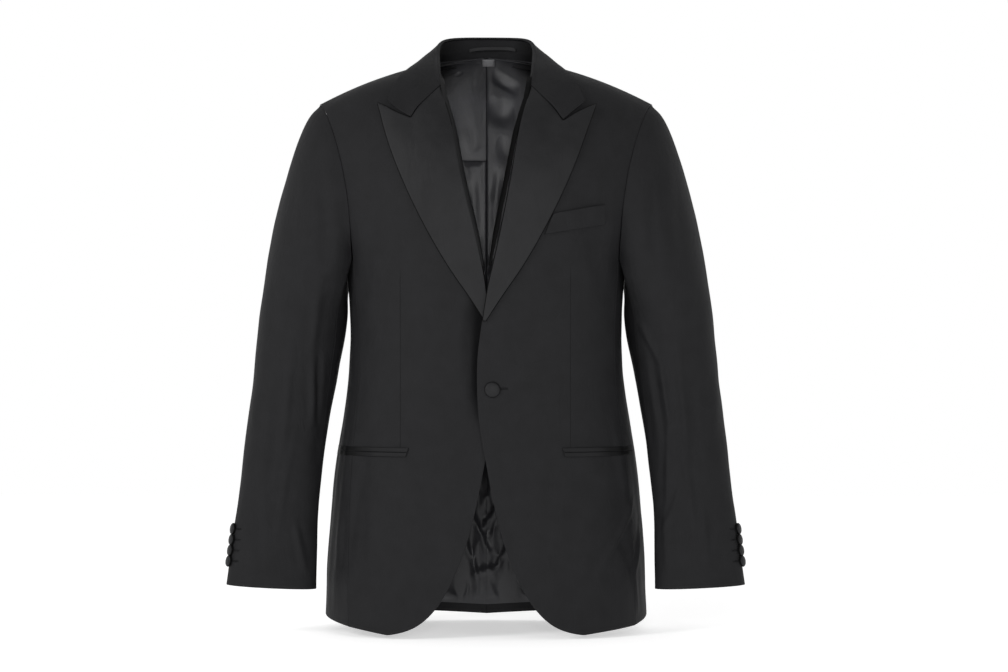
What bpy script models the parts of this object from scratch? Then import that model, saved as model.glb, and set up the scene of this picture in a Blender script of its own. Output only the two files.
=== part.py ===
"""A one-button dinner blazer with peak lapels, filled out as if worn.

Tables and sizes are in millimetres and each mesh is made in metres. The origin is the middle of the
neck hole, at the height of the shoulder seams. Z is up, the front faces -Y, and the wearer's left is +X.
Every table is written for one half, with x as the distance from the centre line towards its own side.
"""

from math import cos, pi, radians, sin

import bmesh
import bpy
import numpy as np
from mathutils import Vector
from mathutils.bvhtree import BVHTree

for old in list(bpy.data.objects):
    bpy.data.objects.remove(old)

# Sizes of the cloth and its seams
MM = 0.001
CLOTH = 2.0
LINING = 1.0
SEAM_GAP = 0.3
SIDES = {"right": -1, "left": 1}

# How finely each panel is divided
HEM_ROWS = 16
YOKE_ROWS = 9
PANEL_COLUMNS = 13
SIDE_COLUMNS = 5
CAP_ROWS = 8
SLEEVE_ROWS = 12
# How much closer the rows of the sleeve head lie near the shoulder
CAP_CROWDING = 1.4

# Level sections of the body: height, half width, depth to the front, depth to the back
BODY_SECTIONS = (
    (-775, 222.5, 134, 126),
    (-740, 221.5, 133, 125),
    (-680, 219.5, 131, 121),
    (-600, 212.6, 126, 113),
    (-540, 206.5, 121, 104),
    (-490, 198.0, 118, 98),
    (-430, 189.5, 118, 95),
    (-377, 187.0, 120, 98),
    (-330, 188.0, 124, 105),
    (-290, 190.5, 127, 112),
    (-255, 192.5, 128, 117),
)
SECTION_POWER = 2.35

# Where the seams of the side body stand, as shares of the half width: height, right, left, back
SIDE_SEAMS = (
    (-757, 0.83, 0.91, 0.86),
    (-268, 0.94, 0.94, 0.92),
)

# Heights of the hem and of the armhole's foot, from the front seam round to the back seam
HEM_FRONT, HEM_FRONT_SEAM, HEM_SIDE, HEM_BACK_SEAM, HEM_BACK = -771.5, -763, -752, -756, -767
ARM_FRONT, ARM_FOOT, ARM_BACK = -268, -290, -264

# Front edge from the hem up to the break of the lapel: x, height
FRONT_EDGE = (
    (130, HEM_FRONT),
    (105, -768),
    (88, -760),
    (58, -725),
    (34.5, -678),
    (14, -609),
    (0, -537),
    (-9.5, -485),
    (-11, -450),
    (-11, -395),
    (-5, -357),
)
# Roll line up to the chest: height, right x, left x
ROLL_LOW = (
    (-305, -1, 3),
    (-262, 6, 13),
)
# Roll line up to the neck, then the neck seam back to the shoulder: height, right x, left x, y
ROLL_HIGH = (
    (-165, 24.5, 32.5, -123),
    (-91, 44, 46.5, -97),
    (-45, 60, 60, -64),
    (-24, 68, 68, -40),
    (-7, 73, 73, -15),
    (4, 76, 76, 6),
)
NECK_POINT = (76, 6, 4)
CENTRE_BACK = ((0, 119, -200), (0, 117, -130), (0, 108, -60), (0, 97, -10), (0, 88, 21.5))
NECK_BACK = ((0, 88, 21.5), (24, 85, 20), (50, 66, 14), (69, 36, 8), NECK_POINT)

# Armhole from its foot up to the shoulder tip: x, y, height
SHOULDER_TIP = (229, 8, -52)
ARMHOLE_FRONT = (
    (182, -68, -238), (186, -74, -186), (195, -67, -138), (207, -49, -96), (221, -20, -62), SHOULDER_TIP)
ARMHOLE_BACK = (
    (181, 70, -225), (188, 80, -175), (199, 74, -125), (212, 55, -85), (223, 32, -61), SHOULDER_TIP)
# Fullness above the armhole's foot: share of the way up, outer share, lift in front, lift behind
YOKE_FORM = (
    (0.0, 0.94, 0, 0),
    (0.25, 0.88, 6, 2),
    (0.5, 0.84, 16, 5),
    (0.75, 0.80, 22, 6),
    (0.9, 0.78, 15, 5),
    (1.0, 0.75, 6, 6),
)
NECK_SHARE = 0.3

# How far the right front lies behind the left one: height, depth
UNDERLAP = ((-620, 0), (-540, 2.9), (-400, 2.9), (-362, 6.6), (-300, 6.6), (-235, 0))
UNDERLAP_FADE = (14, 75)

# Level sections of the sleeve below the armpit: height, outer x, inner x, half depth, middle y
SLEEVE_SECTIONS = (
    (-345, 313.5, 189.0, 59, -2),
    (-372, 316.5, 191.5, 57, -2),
    (-400, 319.5, 197.0, 55, -4),
    (-460, 325.5, 208.5, 49, -11),
    (-515, 331.0, 217.0, 44, -21),
    (-570, 336.5, 224.0, 39, -33),
    (-624, 342.5, 228.0, 34, -45),
    (-679, 347.5, 229.0, 30, -57),
    (-714, 351.5, 229.0, 28, -64),
)
# Outer line of the sleeve head: x, height
SLEEVE_HEAD = (
    (229, -52), (237.5, -54.5), (245.5, -64), (253, -79), (262, -101), (272, -134), (287, -192), (300, -257),
    (313.5, -345))
ARMPIT_CLEARANCE, ARMPIT_STEP = 2.3, 1.2
CUFF_RISE = 6
CAP_FULLNESS = 9
SLEEVE_TWIST = radians(42)
# Soft breaks across the sleeve: height, depth, half length, middle of its arc
SLEEVE_BREAKS = (
    (-392, 3.4, 24, radians(95)),
    (-448, 4.2, 26, radians(70)),
    (-505, 3.0, 24, radians(110)),
    (-590, 2.4, 28, radians(60)),
)

# Collar from the gorge round to the centre back: roll x, y, height, then edge x, y, height
COLLAR = (
    (62, -64, -34, 132, -74, -60),
    (65, -30, -4, 121, -44, -24),
    (66.5, 5, 15, 104, -8, -2),
    (67, 32, 31, 96, 30, 3),
    (60, 62, 42, 78, 73, 2),
    (36, 83, 46.5, 45, 97, 2),
    (0, 90, 47.6, 0, 101, 2),
)
COLLAR_ROWS, FOLD_COLUMNS, FALL_COLUMNS = 14, 4, 6
FOLD_RADIUS = 8
COLLAR_ROLL = 3.2
COLLAR_BULGE = 4.0
FOLD_CLEARANCE, FALL_CLEARANCE = 1.8, 3.6
# How far the leaf stands off the front along its first row, from the roll to the tip
COLLAR_LIFTS = (5.8, 5.8, 5.8, 5.6, 5.4, 5.2)
# The stand: where it starts, how far below the fold, how far the neck seam is from it and its levels
STAND_START, STAND_DROP, STAND_SPREAD = 0.36, 1.4, 1.08
STAND_FOOT_IN, STAND_FOOT_UP = 0.4, 0.8
STAND_LEVELS = (0, 0.33, 0.66, 1)

# Lapel from the break to the peak: x, height. The notch and the tip of the collar leaf: x, height
LAPEL_EDGE = ((-3, -357), (20, -321), (46, -284), (73, -238), (113, -156), (146.5, -64))
GORGE_START, NOTCH, COLLAR_TIP = (62, -37), (104, -79.5), (132.5, -61.5)
GORGE_GAP = (0.4, 0.9)
LAPEL_LIFT = 3.6
ROLL_LIFT = 2.2
GORGE_COLUMNS, PEAK_COLUMNS, LAPEL_ROWS = 4, 3, 13
FACING_START = -278
FACING_WIDTH = 11
FACING_GAP = 1.0

# Pockets, laid on the fronts
JET_HEIGHT, JET_MIDDLE, JET_START, JET_LENGTH, JET_THICK = 5.9, -527.5, 104, 148, 1.5
WELT_CORNERS = ((90, -208.5), (160, -195.5), (160, -222), (79, -236.5))
TRIM_LIFT = 0.6

# Covered buttons: the shank's radius and height, and the dome as shares of its radius and height
BUTTON_SIDES = 12
BUTTON_SHANK = (2.2, 1.4)
BUTTON_DOME = ((0.92, 0), (1.0, 0.25), (0.94, 0.6), (0.72, 0.88), (0.3, 1.0))
# Buttons: diameter, height of the dome, and where they stand
FRONT_BUTTON, FRONT_BUTTON_HEIGHT, FRONT_BUTTON_PLACE = 20, 5.2, (7.5, -443.6)
CUFF_BUTTON, CUFF_BUTTON_HEIGHT, CUFF_BUTTONS = 13.6, 3.8, (-635, -650.5, -666, -681.5)
CUFF_BUTTON_ANGLE, CUFF_BUTTON_LIFT = radians(13), 0.8

# Inside the back: the lining, its upper layer, the hanger loop and the tab
LINING_COLUMNS, LINING_ROWS = 7, 12
LINING_DEPTH, LINING_HEM, LINING_INSET = 2.9, 13, 7
FLAP_DEPTH, FLAP_END, FLAP_COLUMNS, FLAP_ROWS = 1.8, -119, 4, 6
LOOP_MIDDLE, LOOP_LENGTH, LOOP_WIDTH, LOOP_BOW, LOOP_THICK = (8.5, 29.5), 65, 5, 7, 1.2
LOOP_STEPS, LOOP_CLEARANCE, LOOP_STAND_OFF = 10, 1.0, 2.5
TAB_MIDDLE, TAB_SIZE, TAB_THICK = (3, 12.5), (17, 10), 0.8


def material(name, colour, roughness, sheen=0.0):
    made = bpy.data.materials.new(name)
    made.use_nodes = True
    shader = made.node_tree.nodes["Principled BSDF"]
    shader.inputs["Base Color"].default_value = (*colour, 1)
    shader.inputs["Roughness"].default_value = roughness
    shader.inputs["Metallic"].default_value = 0
    shader.inputs["Sheen Weight"].default_value = sheen
    return made


WOOL = material("black wool", (0.024, 0.024, 0.026), 0.85, 0.3)
SATIN = material("black satin", (0.032, 0.032, 0.034), 0.5)
LINING_CLOTH = material("black lining", (0.022, 0.022, 0.025), 0.32)
TAB_CLOTH = material("woven tab", (0.05, 0.05, 0.052), 0.7)


def smooth(keys, values, at):
    """A smooth curve through the values at the keys, read at each number in `at`."""
    keys, values, at = (np.asarray(item, float) for item in (keys, values, at))
    slopes = np.gradient(values, keys, axis=0)
    at = np.clip(at, keys[0], keys[-1])
    low = np.clip(np.searchsorted(keys, at, side="right") - 1, 0, len(keys) - 2)
    step = keys[low + 1] - keys[low]
    t = (at - keys[low]) / step
    if values.ndim > 1:
        t, step = t[..., None], step[..., None]
    start = (2 * t**3 - 3 * t**2 + 1) * values[low] + (t**3 - 2 * t**2 + t) * step * slopes[low]
    end = (3 * t**2 - 2 * t**3) * values[low + 1] + (t**3 - t**2) * step * slopes[low + 1]
    return start + end


def read(table, at):
    """The later columns of a table, read smoothly where its first column is `at`."""
    rows = np.array(sorted(table), float)
    return smooth(rows[:, 0], rows[:, 1:], at)


def along(points, shares):
    """Points at the given shares of the length of a smooth curve through `points`."""
    points = np.array(points, float)
    chords = np.concatenate(([0], np.cumsum(np.linalg.norm(np.diff(points, axis=0), axis=1))))
    fine = smooth(chords, points, np.linspace(0, chords[-1], 400))
    length = np.concatenate(([0], np.cumsum(np.linalg.norm(np.diff(fine, axis=0), axis=1))))
    at = np.asarray(shares) * length[-1]
    return np.stack([np.interp(at, length, fine[:, axis]) for axis in range(fine.shape[1])], axis=-1)


def fade(value, start, end):
    """0 before start, 1 past end, and a soft step between them."""
    t = np.clip((np.asarray(value, float) - start) / (end - start), 0, 1)
    return t * t * (3 - 2 * t)


def unit(vectors):
    return vectors / np.maximum(np.linalg.norm(vectors, axis=-1, keepdims=True), 1e-9)


def body_depth(x, height, back):
    """How far the body's level section reaches to the front or back at x."""
    sections = read(BODY_SECTIONS, height)
    half, front, rear = sections[..., 0], sections[..., 1], sections[..., 2]
    reach = (1 - np.clip(np.abs(x) / half, 0, 1) ** SECTION_POWER) ** (1 / SECTION_POWER)
    return rear * reach if back else -front * reach


def body_width(y, height):
    """How far the body's level section reaches to the side at y."""
    sections = read(BODY_SECTIONS, height)
    depth = np.where(y < 0, sections[..., 1], sections[..., 2])
    return sections[..., 0] * (1 - np.clip(np.abs(y) / depth, 0, 1) ** SECTION_POWER) ** (1 / SECTION_POWER)


def seam_point(height, side, back):
    """A point of the side body's front or back seam."""
    column = 2 if back else ("right", "left").index(side)
    x = read(SIDE_SEAMS, height)[..., column] * read(BODY_SECTIONS, height)[..., 0]
    return np.stack([x, body_depth(x, height, back), height + 0 * x], axis=-1)


def side_heights(w):
    """Heights of the rows of the side body, where w runs from its front seam, 0, to its back seam, 1."""
    hem = smooth((0, 0.5, 1), (HEM_FRONT_SEAM, HEM_SIDE, HEM_BACK_SEAM), w)
    foot = smooth((0, 0.5, 1), (ARM_FRONT, ARM_FOOT, ARM_BACK), w)
    return hem + (foot - hem) * np.linspace(0, 1, HEM_ROWS + 1)


def yoke_row(start, end, share_in, share_out, lift, columns):
    """A row of cloth over the chest or back, bowed between its two edge points as the body is."""
    share = share_in + (share_out - share_in) * columns
    bow = (1 - np.abs(share) ** SECTION_POWER) ** (1 / SECTION_POWER)
    bow = (bow - bow[-1]) / (bow[0] - bow[-1])
    x = start[0] + (end[0] - start[0]) * columns
    y = end[1] + (start[1] - end[1]) * bow
    height = start[2] + (end[2] - start[2]) * columns + lift * 4 * columns * (1 - columns)
    return np.stack([x, y, height], axis=-1)


def armhole(side, back, shares):
    foot = seam_point(np.array(float(ARM_BACK if back else ARM_FRONT)), side, back)
    return along((tuple(foot), *(ARMHOLE_BACK if back else ARMHOLE_FRONT)), shares)


def half_panel(side, back, hem_rows, yoke_rows, columns):
    """The outer face of one front or back, in rows from the hem to the shoulder seam."""
    columns = np.linspace(0, 1, columns + 1)
    low, high = np.linspace(0, 1, hem_rows + 1), np.linspace(0, 1, yoke_rows + 1)
    if back:
        edge = along(((0, HEM_BACK), (0, ARM_BACK)), low)
        start = (0, float(body_depth(0, ARM_BACK, True)), ARM_BACK)
        rise = int(yoke_rows * 0.7)
        inner = np.concatenate((
            along((start, *CENTRE_BACK), np.linspace(0, 1, rise + 1)),
            along(NECK_BACK, np.linspace(0, 1, yoke_rows - rise + 1))[1:]))
    else:
        column = 1 + ("right", "left").index(side)
        roll = [(line[column], line[0]) for line in ROLL_LOW]
        edge = along((*FRONT_EDGE, *roll), low)
        start = (roll[-1][0], float(body_depth(roll[-1][0], roll[-1][1], False)), roll[-1][1])
        neck = [(line[column], line[3], line[0]) for line in ROLL_HIGH]
        inner = along((start, *neck), high)
    foot = ARM_BACK if back else ARM_FRONT
    hem = HEM_BACK_SEAM if back else HEM_FRONT_SEAM
    seam = seam_point(hem + (foot - hem) * low, side, back)
    rows = []
    for (x, height), end in zip(edge, seam):
        across = x + (end[0] - x) * columns
        level = height + (end[2] - height) * columns
        rows.append(np.stack([across, body_depth(across, level, back), level], axis=-1))
    outer = armhole(side, back, high)
    first_share = inner[0][0] / float(read(BODY_SECTIONS, foot)[0])
    for share, begin, end in list(zip(high, inner, outer))[1:]:
        outer_share, *lifts = read(YOKE_FORM, share)
        neck_share = first_share + (NECK_SHARE - first_share) * share
        rows.append(yoke_row(begin, end, neck_share, outer_share, lifts[back], columns))
    face = np.array(rows)
    if side == "right" and not back:
        depth = np.interp(face[..., 2], *zip(*UNDERLAP))
        face[..., 1] += depth * (1 - fade(face[..., 0], *UNDERLAP_FADE))
    return face


def side_panel(side):
    """The outer face of one side body, with columns from its front seam to its back seam."""
    columns = []
    for w in np.linspace(0, 1, SIDE_COLUMNS + 1):
        heights = side_heights(w)
        front, rear = (seam_point(heights, side, back)[..., 1] for back in (False, True))
        y = front + (rear - front) * w
        columns.append(np.stack([body_width(y, heights), y, heights], axis=-1))
    return np.stack(columns, axis=1)


def sleeve_breaks(height, angle):
    """How deep the soft breaks press into the sleeve."""
    depth = np.zeros_like(height)
    for middle, deep, half, centre in SLEEVE_BREAKS:
        slant = height - middle - 10 * np.cos(angle)
        depth += deep * np.exp(-((slant / half) ** 2)) * (0.5 + 0.5 * np.cos(angle - centre))
    return depth


def sleeve_ring(height, angle):
    """A ring of the sleeve below the armpit, at angles from the outer side round by the front."""
    outer, inner, depth, middle = read(SLEEVE_SECTIONS, height)
    half = (outer - inner) / 2
    rise = CUFF_RISE * fade(-height, 600, 714)
    level = height + rise * 0.5 * (1 + np.cos(angle))
    press = sleeve_breaks(level, angle)
    x = (outer + inner) / 2 + (half - press) * np.cos(angle)
    return np.stack([x, middle - (depth - press) * np.sin(angle), level], axis=-1)


def sleeve_face(side, side_top):
    """The outer face of a sleeve, in rings from the armhole to the cuff. The last column is the first."""
    shares = np.linspace(1, 0, YOKE_ROWS + 1)
    loop = np.concatenate((
        armhole(side, False, shares)[:-1], side_top[:-1], armhole(side, True, shares[::-1])))
    turn = np.linspace(0, 2 * pi, len(loop))
    top = SLEEVE_SECTIONS[0][0]
    first = sleeve_ring(top, turn)
    shares = np.linspace(0, 1, CAP_ROWS + 1) ** CAP_CROWDING
    crown = along(SLEEVE_HEAD, shares)
    rings = [loop]
    for step, share in list(enumerate(shares))[1:]:
        ring = loop + (first - loop) * share
        # The crown follows its own line, and the rest of the ring swings with it about the armpit.
        wanted = np.array((crown[step][0], ring[0][1], crown[step][1]))
        weight = (0.5 + 0.5 * np.cos(turn)) ** 1.3
        ring = ring + (wanted - ring[0]) * weight[:, None]
        swell = CAP_FULLNESS * sin(pi * share) * np.abs(np.sin(turn))
        ring[:, 1] -= swell * np.sign(np.sin(turn))
        beside = (ring[:, 2] < ARM_FRONT + 20) & (np.cos(turn) < 0)
        least = body_width(ring[:, 1], ring[:, 2]) + ARMPIT_CLEARANCE
        ring[:, 0] = np.where(beside, np.maximum(ring[:, 0], least), ring[:, 0])
        rings.append(ring)
    for height in np.linspace(top, SLEEVE_SECTIONS[-1][0], SLEEVE_ROWS + 1)[1:]:
        twist = SLEEVE_TWIST * (height - top) / (SLEEVE_SECTIONS[-1][0] - top)
        rings.append(sleeve_ring(height, turn + twist))
    return np.array(rings)


def normals(face, closed=False):
    """The direction out of a face at each of its points, rows running up or down and columns outward."""
    if closed:
        wrapped = np.concatenate((face[:, -2:-1], face, face[:, 1:2]), axis=1)
        across = (wrapped[:, 2:] - wrapped[:, :-2]) / 2
    else:
        across = np.gradient(face, axis=1)
    return unit(np.cross(across, np.gradient(face, axis=0)))


def blend_at_seams(faces, directions):
    """Panels that share a point of a seam get one direction there, so their walls meet in a mitre."""
    shared = {}
    for name, face in faces.items():
        for point, direction in zip(face.reshape(-1, 3), directions[name].reshape(-1, 3)):
            key = tuple(np.round(point, 2))
            shared[key] = shared.get(key, 0) + direction
    for name, face in faces.items():
        flat = directions[name].reshape(-1, 3)
        for index, point in enumerate(face.reshape(-1, 3)):
            flat[index] = unit(shared[tuple(np.round(point, 2))])


def pull_in(face, edges):
    """Draws the named edges of a face back by half a seam gap."""
    moved = face.copy()
    lines = {
        "first row": (0, 1, 0), "last row": (-1, -2, 0),
        "first column": (0, 1, 1), "last column": (-1, -2, 1)}
    for edge in edges:
        at, beside, axis = lines[edge]
        line, inside = np.take(moved, at, axis), np.take(moved, beside, axis)
        line = line + unit(inside - line) * SEAM_GAP / 2
        if axis == 0:
            moved[at] = line
        else:
            moved[:, at] = line
    return moved


def add_object(name, mesh_data, look, sharp=35):
    mesh = bpy.data.meshes.new(name)
    mesh_data.to_mesh(mesh)
    mesh_data.free()
    mesh.shade_smooth()
    mesh.set_sharp_from_angle(angle=radians(sharp))
    mesh.materials.append(look)
    made = bpy.data.objects.new(name, mesh)
    bpy.context.scene.collection.objects.link(made)
    return made


def wall(name, face, inward, look, sign=1):
    """A closed wall of cloth between a face and its points moved by `inward`."""
    outer = face * (sign, 1, 1) * MM
    inner = (face + inward) * (sign, 1, 1) * MM
    rows, columns = face.shape[:2]
    shape = bmesh.new()
    layers = [[[shape.verts.new(point) for point in row] for row in layer] for layer in (outer, inner)]
    for layer in layers:
        for row in range(rows - 1):
            for column in range(columns - 1):
                shape.faces.new((
                    layer[row][column], layer[row][column + 1],
                    layer[row + 1][column + 1], layer[row + 1][column]))
    rim = [(0, column) for column in range(columns - 1)]
    rim += [(row, columns - 1) for row in range(rows - 1)]
    rim += [(rows - 1, column) for column in range(columns - 1, 0, -1)]
    rim += [(row, 0) for row in range(rows - 1, 0, -1)]
    for (row, column), (next_row, next_column) in zip(rim, rim[1:] + rim[:1]):
        shape.faces.new((
            layers[0][row][column], layers[0][next_row][next_column],
            layers[1][next_row][next_column], layers[1][row][column]))
    bmesh.ops.recalc_face_normals(shape, faces=shape.faces)
    return add_object(name, shape, look)


def tree_of(faces):
    """One search tree of several faces, each as quads."""
    points, quads = [], []
    for face in faces:
        rows, columns = face.shape[:2]
        base = len(points)
        points += [Vector(point) for point in face.reshape(-1, 3)]
        for row in range(rows - 1):
            for column in range(columns - 1):
                corner = base + row * columns + column
                quads.append((corner, corner + 1, corner + columns + 1, corner + columns))
    return BVHTree.FromPolygons(points, quads)


def outward(normal, guide):
    """The normal of a face, turned to the same side as a guide direction."""
    return normal if normal.dot(Vector(guide)) > 0 else -normal


def on_front(tree, x, height, lift):
    """The point at x and a height on a front, moved out by lift."""
    place, normal, _, _ = tree.ray_cast(Vector((x, -400, height)), Vector((0, 1, 0)))
    if place is None:
        place = Vector((x, float(read([(line[0], line[3]) for line in ROLL_HIGH], height)[0]), height))
        _, normal, _, _ = tree.find_nearest(place)
    return np.array(place + outward(normal, (0, -1, 0.2)) * lift)


def stand_off(tree, points, clearance):
    """Moves points out where they come closer to the body than the clearance."""
    for index in np.ndindex(points.shape[:-1]):
        point = points[index]
        place, normal, _, _ = tree.find_nearest(Vector(point))
        away = outward(normal, (point[0], point[1] - 8, 60))
        if (Vector(point) - place).dot(away) < clearance:
            points[index] = place + away * clearance


def shell_panels(side):
    """The fronts, sides, backs and sleeves of one half, with the directions out of them."""
    faces = {
        "front": half_panel(side, False, HEM_ROWS, YOKE_ROWS, PANEL_COLUMNS),
        "side": side_panel(side),
        "back": half_panel(side, True, HEM_ROWS, YOKE_ROWS, PANEL_COLUMNS),
    }
    directions = {name: normals(face) for name, face in faces.items()}
    directions["back"] = -directions["back"]
    on_centre = np.abs(faces["back"][..., 0]) < 0.01
    directions["back"][on_centre] = unit(directions["back"][on_centre] * (0, 1, 1))
    blend_at_seams(faces, directions)
    sleeve = sleeve_face(side, faces["side"][-1])
    out = normals(sleeve, closed=True)
    # The sleeve's wall meets the body's in a mitre, but for the armpit, where they turn from each other.
    joined = {}
    for name, face in faces.items():
        for row in range(face.shape[0]):
            for column in range(face.shape[1]):
                joined[tuple(np.round(face[row, column], 2))] = (name, (row, column))
    for index, point in enumerate(sleeve[0]):
        name, place = joined[tuple(np.round(point, 2))]
        body, arm = directions[name][place].copy(), out[0, index].copy()
        weight = float(np.clip(2 * body.dot(arm) - 0.4, 0, 1))
        out[0, index] = unit(arm + weight * body)
        sleeve[0, index] = point + body * ARMPIT_STEP * (1 - weight)
        for other, face in faces.items():
            near = np.linalg.norm(face - point, axis=-1) < 0.01
            directions[other][near] = unit(body + weight * arm)
    faces["sleeve"], directions["sleeve"] = sleeve, out
    return faces, directions


def cloth_wall(name, face, direction, thickness, edges, look, sign):
    """A wall of cloth with its seam edges drawn back."""
    inward = -direction * thickness
    shifted = pull_in(face, edges)
    inner = pull_in(face + inward, edges)
    return wall(name, shifted, inner - shifted, look, sign)


def add_shell(side, faces, directions):
    sign = SIDES[side]
    cloth_wall(f"front_{side}", faces["front"], directions["front"], CLOTH,
               ("last column", "last row"), WOOL, sign)
    cloth_wall(f"side_{side}", faces["side"], directions["side"], CLOTH,
               ("first column", "last column", "last row"), WOOL, sign)
    cloth_wall(f"back_{side}", faces["back"], directions["back"], CLOTH,
               ("first column", "last column", "last row"), WOOL, sign)
    seam_front, seam_back = YOKE_ROWS, YOKE_ROWS + SIDE_COLUMNS + 6
    sleeve, out = faces["sleeve"], directions["sleeve"]
    under = slice(seam_front, seam_back + 1)
    edges = ("first row", "first column", "last column")
    cloth_wall(f"sleeve_under_{side}", sleeve[:, under], out[:, under], CLOTH, edges, WOOL, sign)
    upper = np.concatenate((sleeve[:, seam_back:-1], sleeve[:, :seam_front + 1]), axis=1)
    upper_out = np.concatenate((out[:, seam_back:-1], out[:, :seam_front + 1]), axis=1)
    cloth_wall(f"sleeve_top_{side}", upper, upper_out, CLOTH, edges, WOOL, sign)


def roll_point(tree, side, height):
    """A point of the crest of the lapel's roll."""
    column = 1 + ("right", "left").index(side)
    edge = [(line[1], line[0]) for line in FRONT_EDGE[-2:]]
    rows = edge + [(line[0], line[column]) for line in ROLL_LOW + ROLL_HIGH[:4]]
    x = float(read(rows, height)[0])
    rise = ROLL_LIFT * float(fade(height, -345, -250))
    return on_front(tree, x + 0.6, height, LAPEL_LIFT + rise)


def lapel_face(tree, side):
    """The outer face of a lapel, in rows from the break to the gorge and columns out from the roll."""
    count = GORGE_COLUMNS + PEAK_COLUMNS
    shares = np.linspace(0.02, 1, LAPEL_ROWS + 1)
    heights = np.linspace(LAPEL_EDGE[0][1] + 6, GORGE_START[1], LAPEL_ROWS + 1)
    edge = along(LAPEL_EDGE, shares)
    gorge = np.array([np.array(GORGE_START) + (np.array(NOTCH) - GORGE_START) * step / GORGE_COLUMNS
                      for step in range(GORGE_COLUMNS)]
                     + [np.array(NOTCH) + (np.array(LAPEL_EDGE[-1]) - NOTCH) * step / PEAK_COLUMNS
                        for step in range(PEAK_COLUMNS + 1)])
    across = np.linspace(0, 1, count + 1)[:, None]
    straight = gorge[0] + (gorge[-1] - gorge[0]) * across
    rows = []
    for share, height, end in zip(shares, heights, edge):
        begin = roll_point(tree, side, height)
        line = np.array((begin[0], height)) + (end - (begin[0], height)) * across
        line += (gorge - straight) * share**4
        roll = ROLL_LIFT * float(fade(height, -345, -250))
        lifts = LAPEL_LIFT + roll * (1 - across[:, 0]) ** 2
        rows.append([on_front(tree, x, z, lift) for (x, z), lift in zip(line, lifts)])
    return np.array(rows)


def add_lapel(side, tree):
    face = lapel_face(tree, side)
    direction = normals(face)
    edges = ("first column", "last row")
    cloth_wall(f"lapel_{side}", face, direction, CLOTH, edges, SATIN, SIDES[side])
    return face


def add_facing(side, tree):
    """The strip of facing that turns in from the roll line."""
    rows = []
    columns = [[line[index] for line in ROLL_LOW + ROLL_HIGH[:3]] for index in (0, 1, 2)]
    for height in np.linspace(FACING_START, GORGE_START[1] - 4, 11):
        opening = sum(float(smooth(columns[0], column, height)) for column in columns[1:])
        radius = min(FACING_WIDTH, 0.36 * opening)
        crest = roll_point(tree, side, height)
        angles = np.linspace(0, radians(100), 5)
        crest = crest + np.array((-FACING_GAP, FACING_GAP / 2, 0))
        rows.append([crest + np.array((-radius * sin(a), radius * (1 - cos(a)), 0)) for a in angles])
    face = np.array(rows)
    direction = -normals(face)
    cloth_wall(f"facing_{side}", face, direction, CLOTH, ("first column",), SATIN, SIDES[side])


def collar_rows(count):
    """Rows of the collar's outer face, from the gorge to the centre back, with the stand's top inside."""
    keys = np.linspace(0, 1, len(COLLAR))
    angles = np.linspace(pi, 0, FOLD_COLUMNS)
    rows, directions = [], []
    for share in np.linspace(0, 1, count + 1):
        line = smooth(keys, np.array(COLLAR, float), share)
        roll, edge = line[:3], line[3:]
        out = edge - roll
        out[2] = 0
        out = unit(out)
        upright = float(fade(share, 0, 0.3))
        up = unit(np.array((0, -1, 0.8)) * (1 - upright) + np.array((0, 0, 1)) * upright)
        middle = roll - COLLAR_ROLL * up
        turns = [out * cos(a) + up * sin(a) for a in angles]
        fold = [middle + COLLAR_ROLL * turn for turn in turns]
        way = np.linspace(0, 1, FALL_COLUMNS + 1)[1:, None]
        bulge = COLLAR_BULGE * 4 * way * (1 - way)
        fall = fold[-1] + (edge - fold[-1]) * way + unit(out + up) * bulge
        rows.append(np.concatenate((fold, fall)))
        directions.append(turns)
    return np.array(rows), np.array(directions)


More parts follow.
